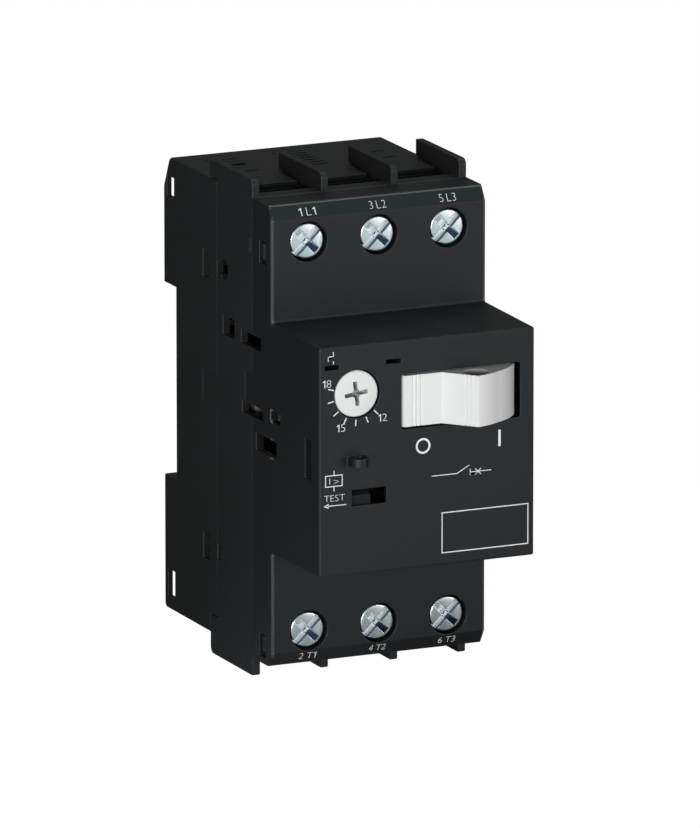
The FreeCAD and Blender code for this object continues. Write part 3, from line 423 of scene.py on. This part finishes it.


# The third colour of each moulded finish is its painted edge highlight.
FINISH = {
    "cover_plastic": moulded("cover_plastic", (0.0066, 0.0071, 0.0073), (0.0078, 0.0084, 0.0086),
                             (0.024, 0.027, 0.029), 0.44),
    "frame_plastic": moulded("frame_plastic", (0.0101, 0.0101, 0.0100), (0.0115, 0.0115, 0.0114),
                             (0.022, 0.024, 0.025), 0.50),
    "rear_plastic": moulded("rear_plastic", (0.0101, 0.0101, 0.0100), (0.0115, 0.0115, 0.0114),
                            (0.022, 0.024, 0.025), 0.50),
    "latch_plastic": moulded("latch_plastic", (0.020, 0.021, 0.022), (0.025, 0.026, 0.027),
                             (0.045, 0.047, 0.049), 0.5),
    # The slider's skin is painted darker than the frame, as painted shade for its place deep in the test
    # window.
    "slider_plastic": moulded("slider_plastic", (0.0052, 0.0055, 0.0057), (0.0066, 0.0070, 0.0073),
                              (0.018, 0.020, 0.021), 0.55, 0.25),
    "rocker_plastic": moulded("rocker_plastic", (0.90, 0.91, 0.90), (0.93, 0.94, 0.93),
                              (0.96, 0.96, 0.96), 0.38, 0.40, 0.05, 3000.0, 0.00015),
    "dial_plastic": moulded("dial_plastic", (0.88, 0.89, 0.88), (0.91, 0.92, 0.91),
                            (0.95, 0.95, 0.95), 0.42, 0.40, 0.06, 3000.0, 0.00015),
    "inner_plastic": moulded("inner_plastic", (0.60, 0.56, 0.44), (0.68, 0.64, 0.52),
                             (0.78, 0.74, 0.64), 0.5, 0.4, 0.08),
    "zinc_steel": metal("zinc_steel", (0.66, 0.67, 0.61), (0.72, 0.73, 0.67), 0.26),
    "steel": metal("steel", (0.44, 0.44, 0.45), (0.58, 0.58, 0.58), 0.34),
    "spring_steel": metal("spring_steel", (0.36, 0.36, 0.38), (0.50, 0.50, 0.52), 0.28),
    "copper": metal("copper", (0.72, 0.36, 0.22), (0.84, 0.46, 0.30), 0.28),
    "bimetal": metal("bimetal", (0.52, 0.50, 0.46), (0.66, 0.62, 0.56), 0.32),
    "heater_wire": metal("heater_wire", (0.30, 0.27, 0.25), (0.44, 0.40, 0.36), 0.42),
}
# Painted highlight: a pale tone on the cover's top chamfer edge and its corners beside the screws.
paint_corner_highlights(FINISH["cover_plastic"], (0.50, 0.54, 0.57))
# Painted light for the screw recesses: a dark slate zinc as painted shade and a near-white zinc as a painted
# glint.
SHADE_ZINC = metal("zinc_painted_shade", (0.045, 0.065, 0.10), (0.06, 0.088, 0.13), 0.26, 0.0)
GLINT_ZINC = metal("zinc_painted_glint", (0.96, 0.98, 0.97), (1.0, 1.0, 1.0), 0.55, 0.0)
# A grey copy of the white plastic, as painted shade inside the padlock bore and the dial's cross.
SHADED = moulded("shaded_plastic", (0.33, 0.34, 0.32), (0.38, 0.39, 0.37), (0.60, 0.61, 0.59), 0.5, 0.3)
INK = printed("white_ink", (0.93, 0.94, 0.94), (0.74, 0.76, 0.77))

slot_of = {part["node"]: part["material_slot"] for part in frame["record"]["subparts"]}
for name, node in nodes.items():
    material = FINISH[slot_of[name]]
    if not node.data.materials:
        node.data.materials.append(material)
    for index in range(len(node.data.materials)):
        node.data.materials[index] = material


def coat(piece, material):
    piece.data.materials.clear()
    piece.data.materials.append(material)
    return piece


def finish_and_shade_copy(piece, outer, shade_copy, part=0):
    """Give a piece its finish and a darker copy of it as painted shade, and put all its faces in one of them.
    """
    piece.data.materials.clear()
    piece.data.materials.append(outer)
    piece.data.materials.append(shade_copy)
    for face in piece.data.polygons:
        face.material_index = part
    return piece


def finish(piece, body):
    """Name the body the piece moves with."""
    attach(piece, body)
    return piece


# ---------------------------------------------------------------- turned pieces and cutters
def turned(name, profile, rings=48):
    """A round piece along Y, grown from its front face by extruding and resizing it."""
    bpy.ops.object.select_all(action="DESELECT")
    radius, depth = profile[0]
    bpy.ops.mesh.primitive_circle_add(vertices=rings, radius=radius * MM, fill_type="NGON",
                                      location=(0, depth * MM, 0), rotation=(math.radians(90), 0, 0))
    piece = bpy.context.object
    piece.name = name
    settle(piece)
    bpy.ops.object.mode_set(mode="EDIT")
    bpy.ops.mesh.select_all(action="SELECT")
    for wider, deeper in profile[1:]:
        bpy.ops.mesh.extrude_region_move(TRANSFORM_OT_translate={"value": (0, (deeper - depth) * MM, 0)})
        ratio = wider / radius
        bpy.ops.transform.resize(value=(ratio, 1, ratio), center_override=(0, deeper * MM, 0))
        radius, depth = wider, deeper
    bpy.ops.object.mode_set(mode="OBJECT")
    return clean(piece)


def tapered_block(name, length, width, front, back, end_share, side_share):
    """A block along X and Y whose deep face is shorter and narrower than its front face."""
    bpy.ops.object.select_all(action="DESELECT")
    bpy.ops.mesh.primitive_cube_add(size=1, location=(0, (front + back) / 2 * MM, 0))
    piece = bpy.context.object
    piece.name = name
    piece.scale = (length * MM, (back - front) * MM, width * MM)
    settle(piece)
    bpy.ops.object.mode_set(mode="EDIT")
    bpy.ops.mesh.select_mode(type="VERT")
    bpy.ops.mesh.select_all(action="DESELECT")
    bpy.ops.object.mode_set(mode="OBJECT")
    for vertex in piece.data.vertices:
        vertex.select = vertex.co.y > (front + back) / 2 * MM
    bpy.ops.object.mode_set(mode="EDIT")
    bpy.ops.transform.resize(value=(end_share, 1, side_share), center_override=(0, back * MM, 0))
    bpy.ops.object.mode_set(mode="OBJECT")
    return piece


def turn_about_y(piece, degrees):
    piece.rotation_euler = (0, math.radians(degrees), 0)
    return settle(piece)


def shift(piece, x, y, z):
    piece.location = (x * MM, y * MM, z * MM)
    return settle(piece)


def copy_of(piece, name):
    double = piece.copy()
    double.data = piece.data.copy()
    double.name = name
    bpy.context.scene.collection.objects.link(double)
    return double


# ---------------------------------------------------------------- rocker
ROCKER_X = 7.1
ROCKER_Y = NOSE_Y + 9.05
ROCKER_LOW = 5.44
ROCKER_HIGH = 15.43
CREST_TURN = 274.0
TIP_TURN = 217.7
PADLOCK = (ROCKER_X + 1.95, NOSE_Y - 2.5, 2.5)


def about_shaft(radius, turn):
    angle = math.radians(turn)
    return (ROCKER_X + radius * math.cos(angle), ROCKER_Y + radius * math.sin(angle))


def rocker_flank(start, end, count):
    """Round back of a wing, a little fuller near the wing's edge."""
    points = []
    for i in range(count):
        turn = start + (end - start) * i / (count - 1)
        away = min(abs(turn - CREST_TURN), abs(turn - TIP_TURN))
        points.append(about_shaft(14.1 + 0.75 * max(0.0, 1 - away / 22), turn))
    return points


def post(name, x, y, radius, low, high, rings=40):
    """A round bar along Z."""
    bpy.ops.object.select_all(action="DESELECT")
    bpy.ops.mesh.primitive_cylinder_add(vertices=rings, radius=radius * MM, depth=(high - low) * MM,
                                        location=(x * MM, y * MM, (low + high) / 2 * MM))
    piece = bpy.context.object
    piece.name = name
    return settle(piece)


def grip_groove(x, y, slope_deg):
    """Cutter for one fine groove across a wing's face."""
    cutter = post("groove", 0, 0, 0.25, ROCKER_LOW - 1, ROCKER_HIGH + 1, 8)
    cutter.rotation_euler = (0, 0, math.radians(slope_deg))
    cutter.location = (x * MM, y * MM, 0)
    return settle(cutter)


def rocker_piece():
    """Two wings over a round flank, hollow behind, with grip grooves and the padlock hole."""
    tip = about_shaft(14.75, TIP_TURN)
    valley = (ROCKER_X - 4.05, NOSE_Y)
    crest = about_shaft(14.9, CREST_TURN)
    outline = rocker_flank(TIP_TURN - 50, TIP_TURN - 1.5, 18)
    outline += [(tip[0] + 0.12, tip[1] - 0.12), (tip[0] + 0.4, NOSE_Y - 0.06), valley]
    outline += [(crest[0] - 0.30, crest[1] + 0.32), (crest[0] - 0.06, crest[1] + 0.06)]
    outline += rocker_flank(CREST_TURN + 1.2, CREST_TURN + 52, 26)
    outline += [about_shaft(6.0, CREST_TURN + 52), about_shaft(2.6, 20), about_shaft(2.6, 90)]
    outline += [about_shaft(2.6, 150), about_shaft(6.0, TIP_TURN - 50)]
    shell = outline_solid("rocker_shell", [outline], ROCKER_LOW, ROCKER_HIGH)
    settle(shell)
    clean(shell)
    round_edges(shell, 0.42, 4, 70)

    pocket = rocker_flank_inner(CREST_TURN + 58, CREST_TURN + 6)
    pocket += [(ROCKER_X - 3.6, NOSE_Y + 1.75)]
    pocket += rocker_flank_inner(TIP_TURN - 8, TIP_TURN - 56)
    pocket += [about_shaft(9.0, TIP_TURN - 58), about_shaft(9.0, 90), about_shaft(9.0, CREST_TURN + 60)]
    hollow = outline_solid("hollow", [pocket], ROCKER_LOW + 1.3, ROCKER_HIGH - 1.3)
    settle(hollow)
    clean(hollow)
    carve(hollow, post("tube", PADLOCK[0], PADLOCK[1], PADLOCK[2] + 1.0, 0, 20))
    carve(hollow, post("hub", ROCKER_X, ROCKER_Y, 2.6, 0, 20))
    finish_and_shade_copy(shell, FINISH["rocker_plastic"], SHADED)
    carve(shell, hollow)
    # The padlock bore's walls take the grey copy as painted shade.
    lock_bore = post("lock_bore", PADLOCK[0], PADLOCK[1], PADLOCK[2], 0, 20, 56)
    carve(shell, finish_and_shade_copy(lock_bore, FINISH["rocker_plastic"], SHADED, 1))
    carve(shell, post("shaft_bore", ROCKER_X, ROCKER_Y, 1.55, 0, 20))
    for x in (-2.9, -2.1, -1.25):
        carve(shell, grip_groove(x, NOSE_Y - 0.06, 0))
    slope = math.degrees(math.atan2(crest[1] - valley[1], crest[0] - valley[0]))
    for share in (0.635, 0.735, 0.865):
        x = valley[0] + (crest[0] - valley[0]) * share
        y = valley[1] + (crest[1] - valley[1]) * share
        carve(shell, grip_groove(x - 0.03, y - 0.03, slope))
    return clean(shell, 32)


def rocker_flank_inner(start, end):
    return arc(ROCKER_X, ROCKER_Y, 12.6, start, end, 14)


# ---------------------------------------------------------------- dial
DIAL_X = -14.65
DIAL_Z = 12.9


def dial_piece():
    """Round head with a softly cut cross, over its shaft and the cam that sets the trip."""
    face = NOSE_Y + 0.3
    head = turned("dial_head", [(4.22, face), (4.36, face + 0.05), (4.47, face + 0.16), (4.53, face + 0.34),
                                (4.53, face + 2.8), (4.08, face + 2.8), (4.08, face + 7.6)], 72)
    bore = tapered_block("cross_one", 5.1, 0.86, face - 0.4, face + 1.9, 0.66, 0.7)
    side = tapered_block("cross_two", 0.86, 5.1, face - 0.4, face + 1.9, 0.7, 0.66)
    heart = turned("cross_heart", [(0.95, face - 0.5), (0.85, face), (0.35, face + 2.2)], 24)
    finish_and_shade_copy(head, FINISH["dial_plastic"], SHADED)
    # The cross's walls take the grey copy as painted shade.
    for cutter in (bore, side, heart):
        turn_about_y(cutter, -7.6)
        carve(head, finish_and_shade_copy(cutter, FINISH["dial_plastic"], SHADED, 1))
    shift(head, DIAL_X, 0, DIAL_Z)
    outline = []
    for i in range(31):
        turn = -30.9 + 161.4 * i / 30
        lift = min(max(2.9 + 1.2 * -turn / 149.4 + 0.6, 2.9), 4.1)
        outline.append((lift * math.cos(math.radians(turn)), lift * math.sin(math.radians(turn))))
    outline += arc(0, 0, 2.9, 136, 324, 20)
    cam = outline_solid("cam", [outline], 0, 2.0)
    face_forward(cam)
    shift(cam, DIAL_X, NOSE_Y + 9.95, DIAL_Z)
    return clean(join([head, cam], "dial_head"), 30)


# ---------------------------------------------------------------- terminal screws
HEAD_FACE = TERMINAL_Y + 0.8
POLE_X = (-14.7, 0.0, 14.7)
SCREW_Z = {"line": 37.9, "load": -38.6}


def recess_cutter(cutter, degrees):
    """Turn a cutter about the screw's axis and pick the painted light each of its walls leaves behind.

    Walls that lean one way leave painted shade, a dark slate zinc; the rest leave a painted glint, a
    near-white zinc.
    """
    turn_about_y(cutter, degrees)
    finish_and_shade_copy(cutter, FINISH["zinc_steel"], SHADE_ZINC)
    cutter.data.materials.append(GLINT_ZINC)
    for face in cutter.data.polygons:
        leaning = (face.normal.x - face.normal.z) * math.sqrt(0.5)
        face.material_index = 1 if leaning > 0.3 else 2
    return cutter


def screw_piece(back):
    """Pan head screw with a slot and a cross recess, a rolled thread and a plain tip."""
    profile = [(3.10, HEAD_FACE), (3.32, HEAD_FACE + 0.04), (3.44, HEAD_FACE + 0.14), (3.50, HEAD_FACE + 0.32),
               (3.50, HEAD_FACE + 2.15), (3.30, HEAD_FACE + 2.4), (1.95, HEAD_FACE + 2.4)]
    depth = HEAD_FACE + 2.7
    while depth < back - 2.2:
        profile += [(1.62, depth), (1.95, depth + 0.35)]
        depth += 0.7
    profile += [(1.9, back - 1.4), (1.2, back - 1.25), (1.2, back - 0.15), (1.05, back)]
    # The recess walls take painted shade and painted glints from their cutters.
    screw = finish_and_shade_copy(turned("screw_blank", profile), FINISH["zinc_steel"], SHADE_ZINC)
    screw.data.materials.append(GLINT_ZINC)
    cross = tapered_block("cross", 6.25, 1.42, HEAD_FACE - 0.3, HEAD_FACE + 1.9, 0.35, 0.72)
    carve(screw, recess_cutter(cross, 45))
    slot = tapered_block("slot", 9.0, 1.5, HEAD_FACE - 1.0, HEAD_FACE + 1.05, 1.0, 0.95)
    carve(screw, recess_cutter(slot, -45))
    lead = turned("lead", [(0.95, HEAD_FACE + 0.9), (0.4, HEAD_FACE + 2.2)], 20)
    carve(screw, recess_cutter(lead, 0))
    return clean(screw, 30)


# ---------------------------------------------------------------- printed marks
PRINT = 0.02


def mark(name, outlines, y=NOSE_Y):
    """Flat print on a face towards the user, drawn in X and Z."""
    print_ = outline_solid(name, outlines, -PRINT, PRINT)
    face_forward(print_)
    return shift(print_, 0, y, 0)


ONE = [(0.21, 0.0), (0.33, 0.0), (0.33, 1.0), (0.24, 1.0), (0.0, 0.81), (0.0, 0.68), (0.21, 0.81)]


def glyph(letter):
    """One flat letter, one millimetre tall, with its left foot at the origin."""
    if letter == "1":
        return settle(outline_solid("glyph", [ONE], 0, 0))
    bpy.ops.object.select_all(action="DESELECT")
    bpy.ops.object.text_add()
    bpy.context.object.data.body = letter
    bpy.context.object.data.resolution_u = 6
    bpy.context.object.data.offset = -0.021
    bpy.ops.object.convert(target="MESH")
    piece = bpy.context.object
    low = [min(v.co[i] for v in piece.data.vertices) for i in range(2)]
    tall = max(v.co.y for v in piece.data.vertices) - low[1]
    if letter == ">":
        tall = tall / 0.7
    piece.location = (-low[0], -low[1], 0)
    settle(piece)
    piece.scale = (MM / tall, MM / tall, 1)
    return settle(piece)


def words(name, text, x, z, height, width, y=NOSE_Y, lean=0.0):
    """Lettering centred at x and z, fitted to its height and width, on a face leaning back by lean."""
    letters = []
    along = 0.0
    for letter in text:
        if letter == " ":
            along += 0.34
            continue
        piece = glyph(letter)
        wide = max(v.co.x for v in piece.data.vertices) / MM
        letters.append(shift(piece, along, 0, 0))
        along += wide + 0.17
    piece = join(letters, name)
    along -= 0.17
    shift(piece, -along / 2, -0.5, 0)
    piece.scale = (width / along, height, 1)
    settle(piece)
    pick(piece)
    bpy.ops.object.mode_set(mode="EDIT")
    bpy.ops.mesh.select_all(action="SELECT")
    bpy.ops.transform.translate(value=(0, 0, -PRINT * MM))
    bpy.ops.mesh.extrude_region_move(TRANSFORM_OT_translate={"value": (0, 0, 2 * PRINT * MM)})
    bpy.ops.object.mode_set(mode="OBJECT")
    piece.rotation_euler = (math.radians(90 - lean), 0, 0)
    settle(piece)
    shift(piece, x, y, z)
    return clean(piece)


def dial_scale():
    """Ticks round the dial and its plain numbers."""
    ticks = []
    for turn in (166.0, 191.3, 218.0, 243.4, 267.4, 292.0, 315.5):
        angle = math.radians(turn)
        ux, uz = math.cos(angle), math.sin(angle)
        ticks.append(bar(DIAL_X + 4.95 * ux, DIAL_Z + 4.95 * uz, DIAL_X + 6.2 * ux, DIAL_Z + 6.2 * uz, 0.22))
    pieces = [mark("scale_ticks", ticks)]
    for number, x, z in (("18", -20.9, 15.45), ("15", -18.0, 6.6), ("12", -9.3, 7.8)):
        pieces.append(words("scale_" + number, number, x, z, 1.45, 1.75))
    return pieces


def cover_marks():
    """Switch positions, test arrow and the plain circuit signs of a motor protection breaker."""
    pieces = [mark("off_ring", [ring(-0.85, 1.4, 1.54), ring(-0.85, 1.4, 1.14)])]
    pieces.append(mark("on_bar", [[(14.93, -0.25), (15.45, -0.25), (15.45, 2.97), (14.93, 2.97)]]))
    frame_out = [(3.05, -20.1), (21.31, -20.1), (21.31, -12.05), (3.05, -12.05)]
    frame_in = [(3.25, -19.9), (21.11, -19.9), (21.11, -12.25), (3.25, -12.25)]
    pieces.append(mark("note_frame", [frame_out, frame_in]))
    line = 0.16
    contact = [bar(0.95, -4.72, 6.27, -4.72, line), bar(6.22, -4.74, 8.84, -3.32, line),
               bar(9.05, -5.3, 9.05, -4.1, line), bar(9.05, -4.72, 13.45, -4.72, line)]
    pieces.append(mark("contact_sign", contact))
    pieces.append(mark("contact_rise", [bar(10.1, -5.3, 11.3, -4.14, line)], NOSE_Y - 0.004))
    pieces.append(mark("contact_fall", [bar(10.1, -4.14, 11.3, -5.3, line)], NOSE_Y - 0.008))
    box_out = [(-21.3, -4.72), (-17.65, -4.72), (-17.65, -2.42), (-21.3, -2.42)]
    box_in = [(-21.12, -4.54), (-17.83, -4.54), (-17.83, -2.6), (-21.12, -2.6)]
    pieces.append(mark("magnet_frame", [box_out, box_in]))
    leads = [bar(-19.45, -2.42, -19.45, -1.55, line), bar(-19.45, -4.72, -19.45, -5.6, line)]
    pieces.append(mark("magnet_leads", leads))
    pieces.append(words("magnet_sign", "I >", -19.45, -3.57, 1.15, 1.9))
    heat = [bar(-19.57, 21.6, -19.57, 20.7, line), bar(-19.65, 20.7, -20.70, 20.7, line),
            bar(-20.62, 20.7, -20.62, 19.8, line), bar(-20.70, 19.8, -19.49, 19.8, line),
            bar(-19.57, 19.8, -19.57, 19.2, line)]
    pieces.append(mark("heat_sign", heat))
    pieces.append(words("test_word", "TEST", -19.35, -6.92, 1.2, 4.3))
    shaft = bar(-20.65, -8.4, -16.9, -8.4, line)
    tip = [(-21.6, -8.4), (-20.6, -8.86), (-20.6, -7.94)]
    tip_hole = [(-21.25, -8.4), (-20.75, -8.62), (-20.75, -8.18)]
    pieces.append(mark("test_arrow", [tip, tip_hole]))
    pieces.append(mark("test_shaft", [shaft]))
    lean = math.degrees(math.atan2(1.75, 2.7))
    run = 1.30
    y = TERMINAL_Y + run * math.sin(math.radians(lean))
    z = 42.6 + run * math.cos(math.radians(lean))
    for side, up, texts in (("line", 1, ("1 L1", "3 L2", "5 L3")), ("load", -1, ("2 T1", "4 T2", "6 T3"))):
        for x, text in zip(POLE_X, texts):
            pieces.append(words(f"{side}_mark_{text[0]}", text, x, up * z, 1.6, 3.5, y, up * lean))
    return pieces


# ---------------------------------------------------------------- putting it together
rocker_shell = rocker_piece()
finish(rocker_shell, "rocker")
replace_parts(rocker_shell, "rocker")

dial_head = dial_piece()
finish(dial_head, "dial")
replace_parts(dial_head, "adjustment_dial")

_, screw_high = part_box("line_screw_1")
blank = screw_piece(screw_high.y / MM)
for side, height in SCREW_Z.items():
    for pole, x in enumerate(POLE_X, 1):
        screw = shift(copy_of(blank, f"{side}_terminal_screw_{pole}"), x, 0, height)
        finish(screw, f"{side}_screw_{pole}")
        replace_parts(screw, f"{side}_screw_{pole}")
bpy.data.objects.remove(blank)

# Node, name, the X span kept in mm, joint, axis (1 is Y, 2 is Z), fixed end, and travel in mm.
SQUEEZED = (
    ("opening_springs", "left_opening_spring", -20, 0, "carrier_slide", 1, "high", 3.2539),
    ("opening_springs", "right_opening_spring", 0, 20, "carrier_slide", 1, "high", 3.2539),
    ("plunger_springs", "plunger_spring_1", -20, -7, "plunger_1_push", 1, "low", 2.0),
    ("plunger_springs", "plunger_spring_2", -7, 7, "plunger_2_push", 1, "low", 2.0),
    ("plunger_springs", "plunger_spring_3", 7, 20, "plunger_3_push", 1, "low", 2.0),
    ("rail_latch_spring", "latch_return_spring", -20, 20, "rail_latch_slide", 2, "low", 3.5),
)


def coiled_spring(node, name, left, right, joint, along, fixed, travel):
    """One wound spring of a node, cut out of it by its X span and carried by the housing."""
    spring = copy_of(nodes[node], name)
    spring.hide_render = False
    spring.hide_viewport = False
    clean(spring, 40)
    bpy.ops.object.mode_set(mode="EDIT")
    bpy.ops.mesh.select_mode(type="FACE")
    bpy.ops.mesh.select_all(action="DESELECT")
    bpy.ops.object.mode_set(mode="OBJECT")
    for face in spring.data.polygons:
        face.select = not left * MM < face.center.x < right * MM
    bpy.ops.object.mode_set(mode="EDIT")
    bpy.ops.mesh.delete(type="FACE")
    bpy.ops.object.mode_set(mode="OBJECT")
    finish(spring, "housing")
    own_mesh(spring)
    return spring


for spring_facts in SQUEEZED:
    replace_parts(coiled_spring(*spring_facts), spring_facts[0])

for piece in dial_scale() + cover_marks():
    finish(coat(piece, INK), "housing")


# ---------------------------------------------------------------- camera, floor and lights
def seen_or(tree, seen_level, unseen):
    """Strength that is one number for what the camera sees and another for what lights the object."""
    ray = tree.nodes.new("ShaderNodeLightPath")
    seen = calc(tree, "MAXIMUM", ray.outputs["Is Camera Ray"], ray.outputs["Is Transmission Ray"])
    level = tree.nodes.new("ShaderNodeMix")
    level.inputs["B"].default_value = seen_level
    tree.links.new(seen, level.inputs["Factor"])
    tree.links.new(unseen, level.inputs["A"])
    return level.outputs["Result"]


SHEEN_TINT = (0.75, 1.0, 1.17)
WHITE = (1.0, 1.0, 1.0)
FLOOR_GAP = 0.0002


def floor_piece():
    """White floor that mirrors as a pale sheet in front of the object and a dimmer one behind its right."""
    bpy.ops.object.select_all(action="DESELECT")
    bpy.ops.mesh.primitive_plane_add(size=6.0, location=(0, 0, cad_box[0][2] - FLOOR_GAP))
    floor = bpy.context.object
    floor.name = "floor"
    material, tree, shader = fresh("studio_white")
    shader.inputs["Base Color"].default_value = (0.35, 0.35, 0.35, 1.0)
    shader.inputs["Roughness"].default_value = 0.9
    shader.inputs["Specular IOR Level"].default_value = 0.0
    ray = tree.nodes.new("ShaderNodeLightPath")
    axes = axes_of(tree, "Object")
    place = tree.nodes.new("ShaderNodeTexCoord")
    across = tree.nodes.new("ShaderNodeVectorMath")
    across.operation = "DOT_PRODUCT"
    across.inputs[1].default_value = (0.66, 0.75, 0.0)
    tree.links.new(place.outputs["Object"], across.inputs[0])
    # The sheets are a painted reflection: a glow on the floor that only glossy rays see.
    rear = calc(tree, "MULTIPLY", ramp(tree, axes["X"], 0.0, 0.06, 0.0, 0.34),
                ramp(tree, axes["Y"], 0.02, 0.09, 0.0, 1.0))
    both = calc(tree, "ADD", ramp(tree, across.outputs["Value"], -0.01, -0.12, 0.0, 0.68), rear)
    sheet = calc(tree, "MULTIPLY", both, ray.outputs["Is Glossy Ray"])
    tree.links.new(seen_or(tree, 0.97, sheet), shader.inputs["Emission Strength"])
    tint = blend_colours(tree, SHEEN_TINT, WHITE, ray.outputs["Is Camera Ray"])
    tree.links.new(tint, shader.inputs["Emission Color"])
    floor.data.materials.append(material)


def studio_world():
    """White for the camera, soft light from the front, and graded levels for what gloss mirrors."""
    world = bpy.data.worlds.new("studio")
    world.use_nodes = True
    bpy.context.scene.world = world
    tree = world.node_tree
    background = tree.nodes["Background"]
    axes = axes_of(tree, "Generated")
    soft = calc(tree, "POWER", ramp(tree, axes["Y"], 0.1, -1.0, 0.0, 1.0), 1.6)
    room = calc(tree, "MULTIPLY", ramp(tree, soft, 0.0, 1.0, 0.13, 0.80),
                ramp(tree, axes["Z"], 0.0, 0.5, 1.0, 0.12))
    rear = calc(tree, "MULTIPLY", ramp(tree, axes["Y"], 0.2, 0.9, 0.0, 0.45),
                ramp(tree, axes["Z"], 0.05, 0.3, 1.0, 0.0))
    low_front = calc(tree, "MULTIPLY", ramp(tree, axes["Y"], 0.1, -0.8, 0.14, 0.60),
                     ramp(tree, axes["Z"], 0.1, 0.55, 0.3, 1.05))
    overhead = ramp(tree, axes["Z"], 0.75, 0.92, 0.0, 1.4)
    ray = tree.nodes.new("ShaderNodeLightPath")
    unseen = tree.nodes.new("ShaderNodeMix")
    tree.links.new(ray.outputs["Is Glossy Ray"], unseen.inputs["Factor"])
    tree.links.new(calc(tree, "ADD", room, rear), unseen.inputs["A"])
    tree.links.new(calc(tree, "ADD", low_front, overhead), unseen.inputs["B"])
    tree.links.new(seen_or(tree, 1.0, unseen.outputs["Result"]), background.inputs["Strength"])
    cool = calc(tree, "MULTIPLY", ray.outputs["Is Glossy Ray"], ramp(tree, axes["Y"], 0.1, -0.4, 0.0, 1.0))
    tree.links.new(blend_colours(tree, WHITE, SHEEN_TINT, cool), background.inputs["Color"])


def lamp(name, place, aim, size, watts):
    """A rectangular lamp, turned towards its aim."""
    data = bpy.data.lights.new(name, "AREA")
    data.shape = "RECTANGLE"
    data.size, data.size_y = size
    data.energy = watts
    piece = bpy.data.objects.new(name, data)
    piece.location = place
    piece.rotation_euler = (Vector(aim) - Vector(place)).to_track_quat("-Z", "Y").to_euler()
    bpy.context.scene.collection.objects.link(piece)


def camera_set():
    """Long-lens view from the left and a little above."""
    azimuth, elevation, distance = math.radians(-24.44), math.radians(13.65), 2.600
    target = Vector((0.000543, -0.0310, -0.000599))
    away = Vector((math.sin(azimuth) * math.cos(elevation),
                   -math.cos(azimuth) * math.cos(elevation), math.sin(elevation)))
    data = bpy.data.cameras.new("camera")
    data.lens = 586.9
    data.sensor_width = 36
    data.clip_start = 0.05
    data.clip_end = 20
    camera = bpy.data.objects.new("camera", data)
    camera.location = target + away * distance
    camera.rotation_euler = (-away).to_track_quat("-Z", "Y").to_euler()
    bpy.context.scene.collection.objects.link(camera)
    bpy.context.scene.camera = camera


floor_piece()
studio_world()
MIDDLE = (0, -0.03, 0)
lamp("key", (-0.80, -0.99, 0.07), MIDDLE, (0.9, 0.36), 13.2)
lamp("fill", (0.85, -1.02, 0.07), MIDDLE, (0.8, 0.36), 4.3)
camera_set()
bpy.context.scene.view_settings.view_transform = "Standard"
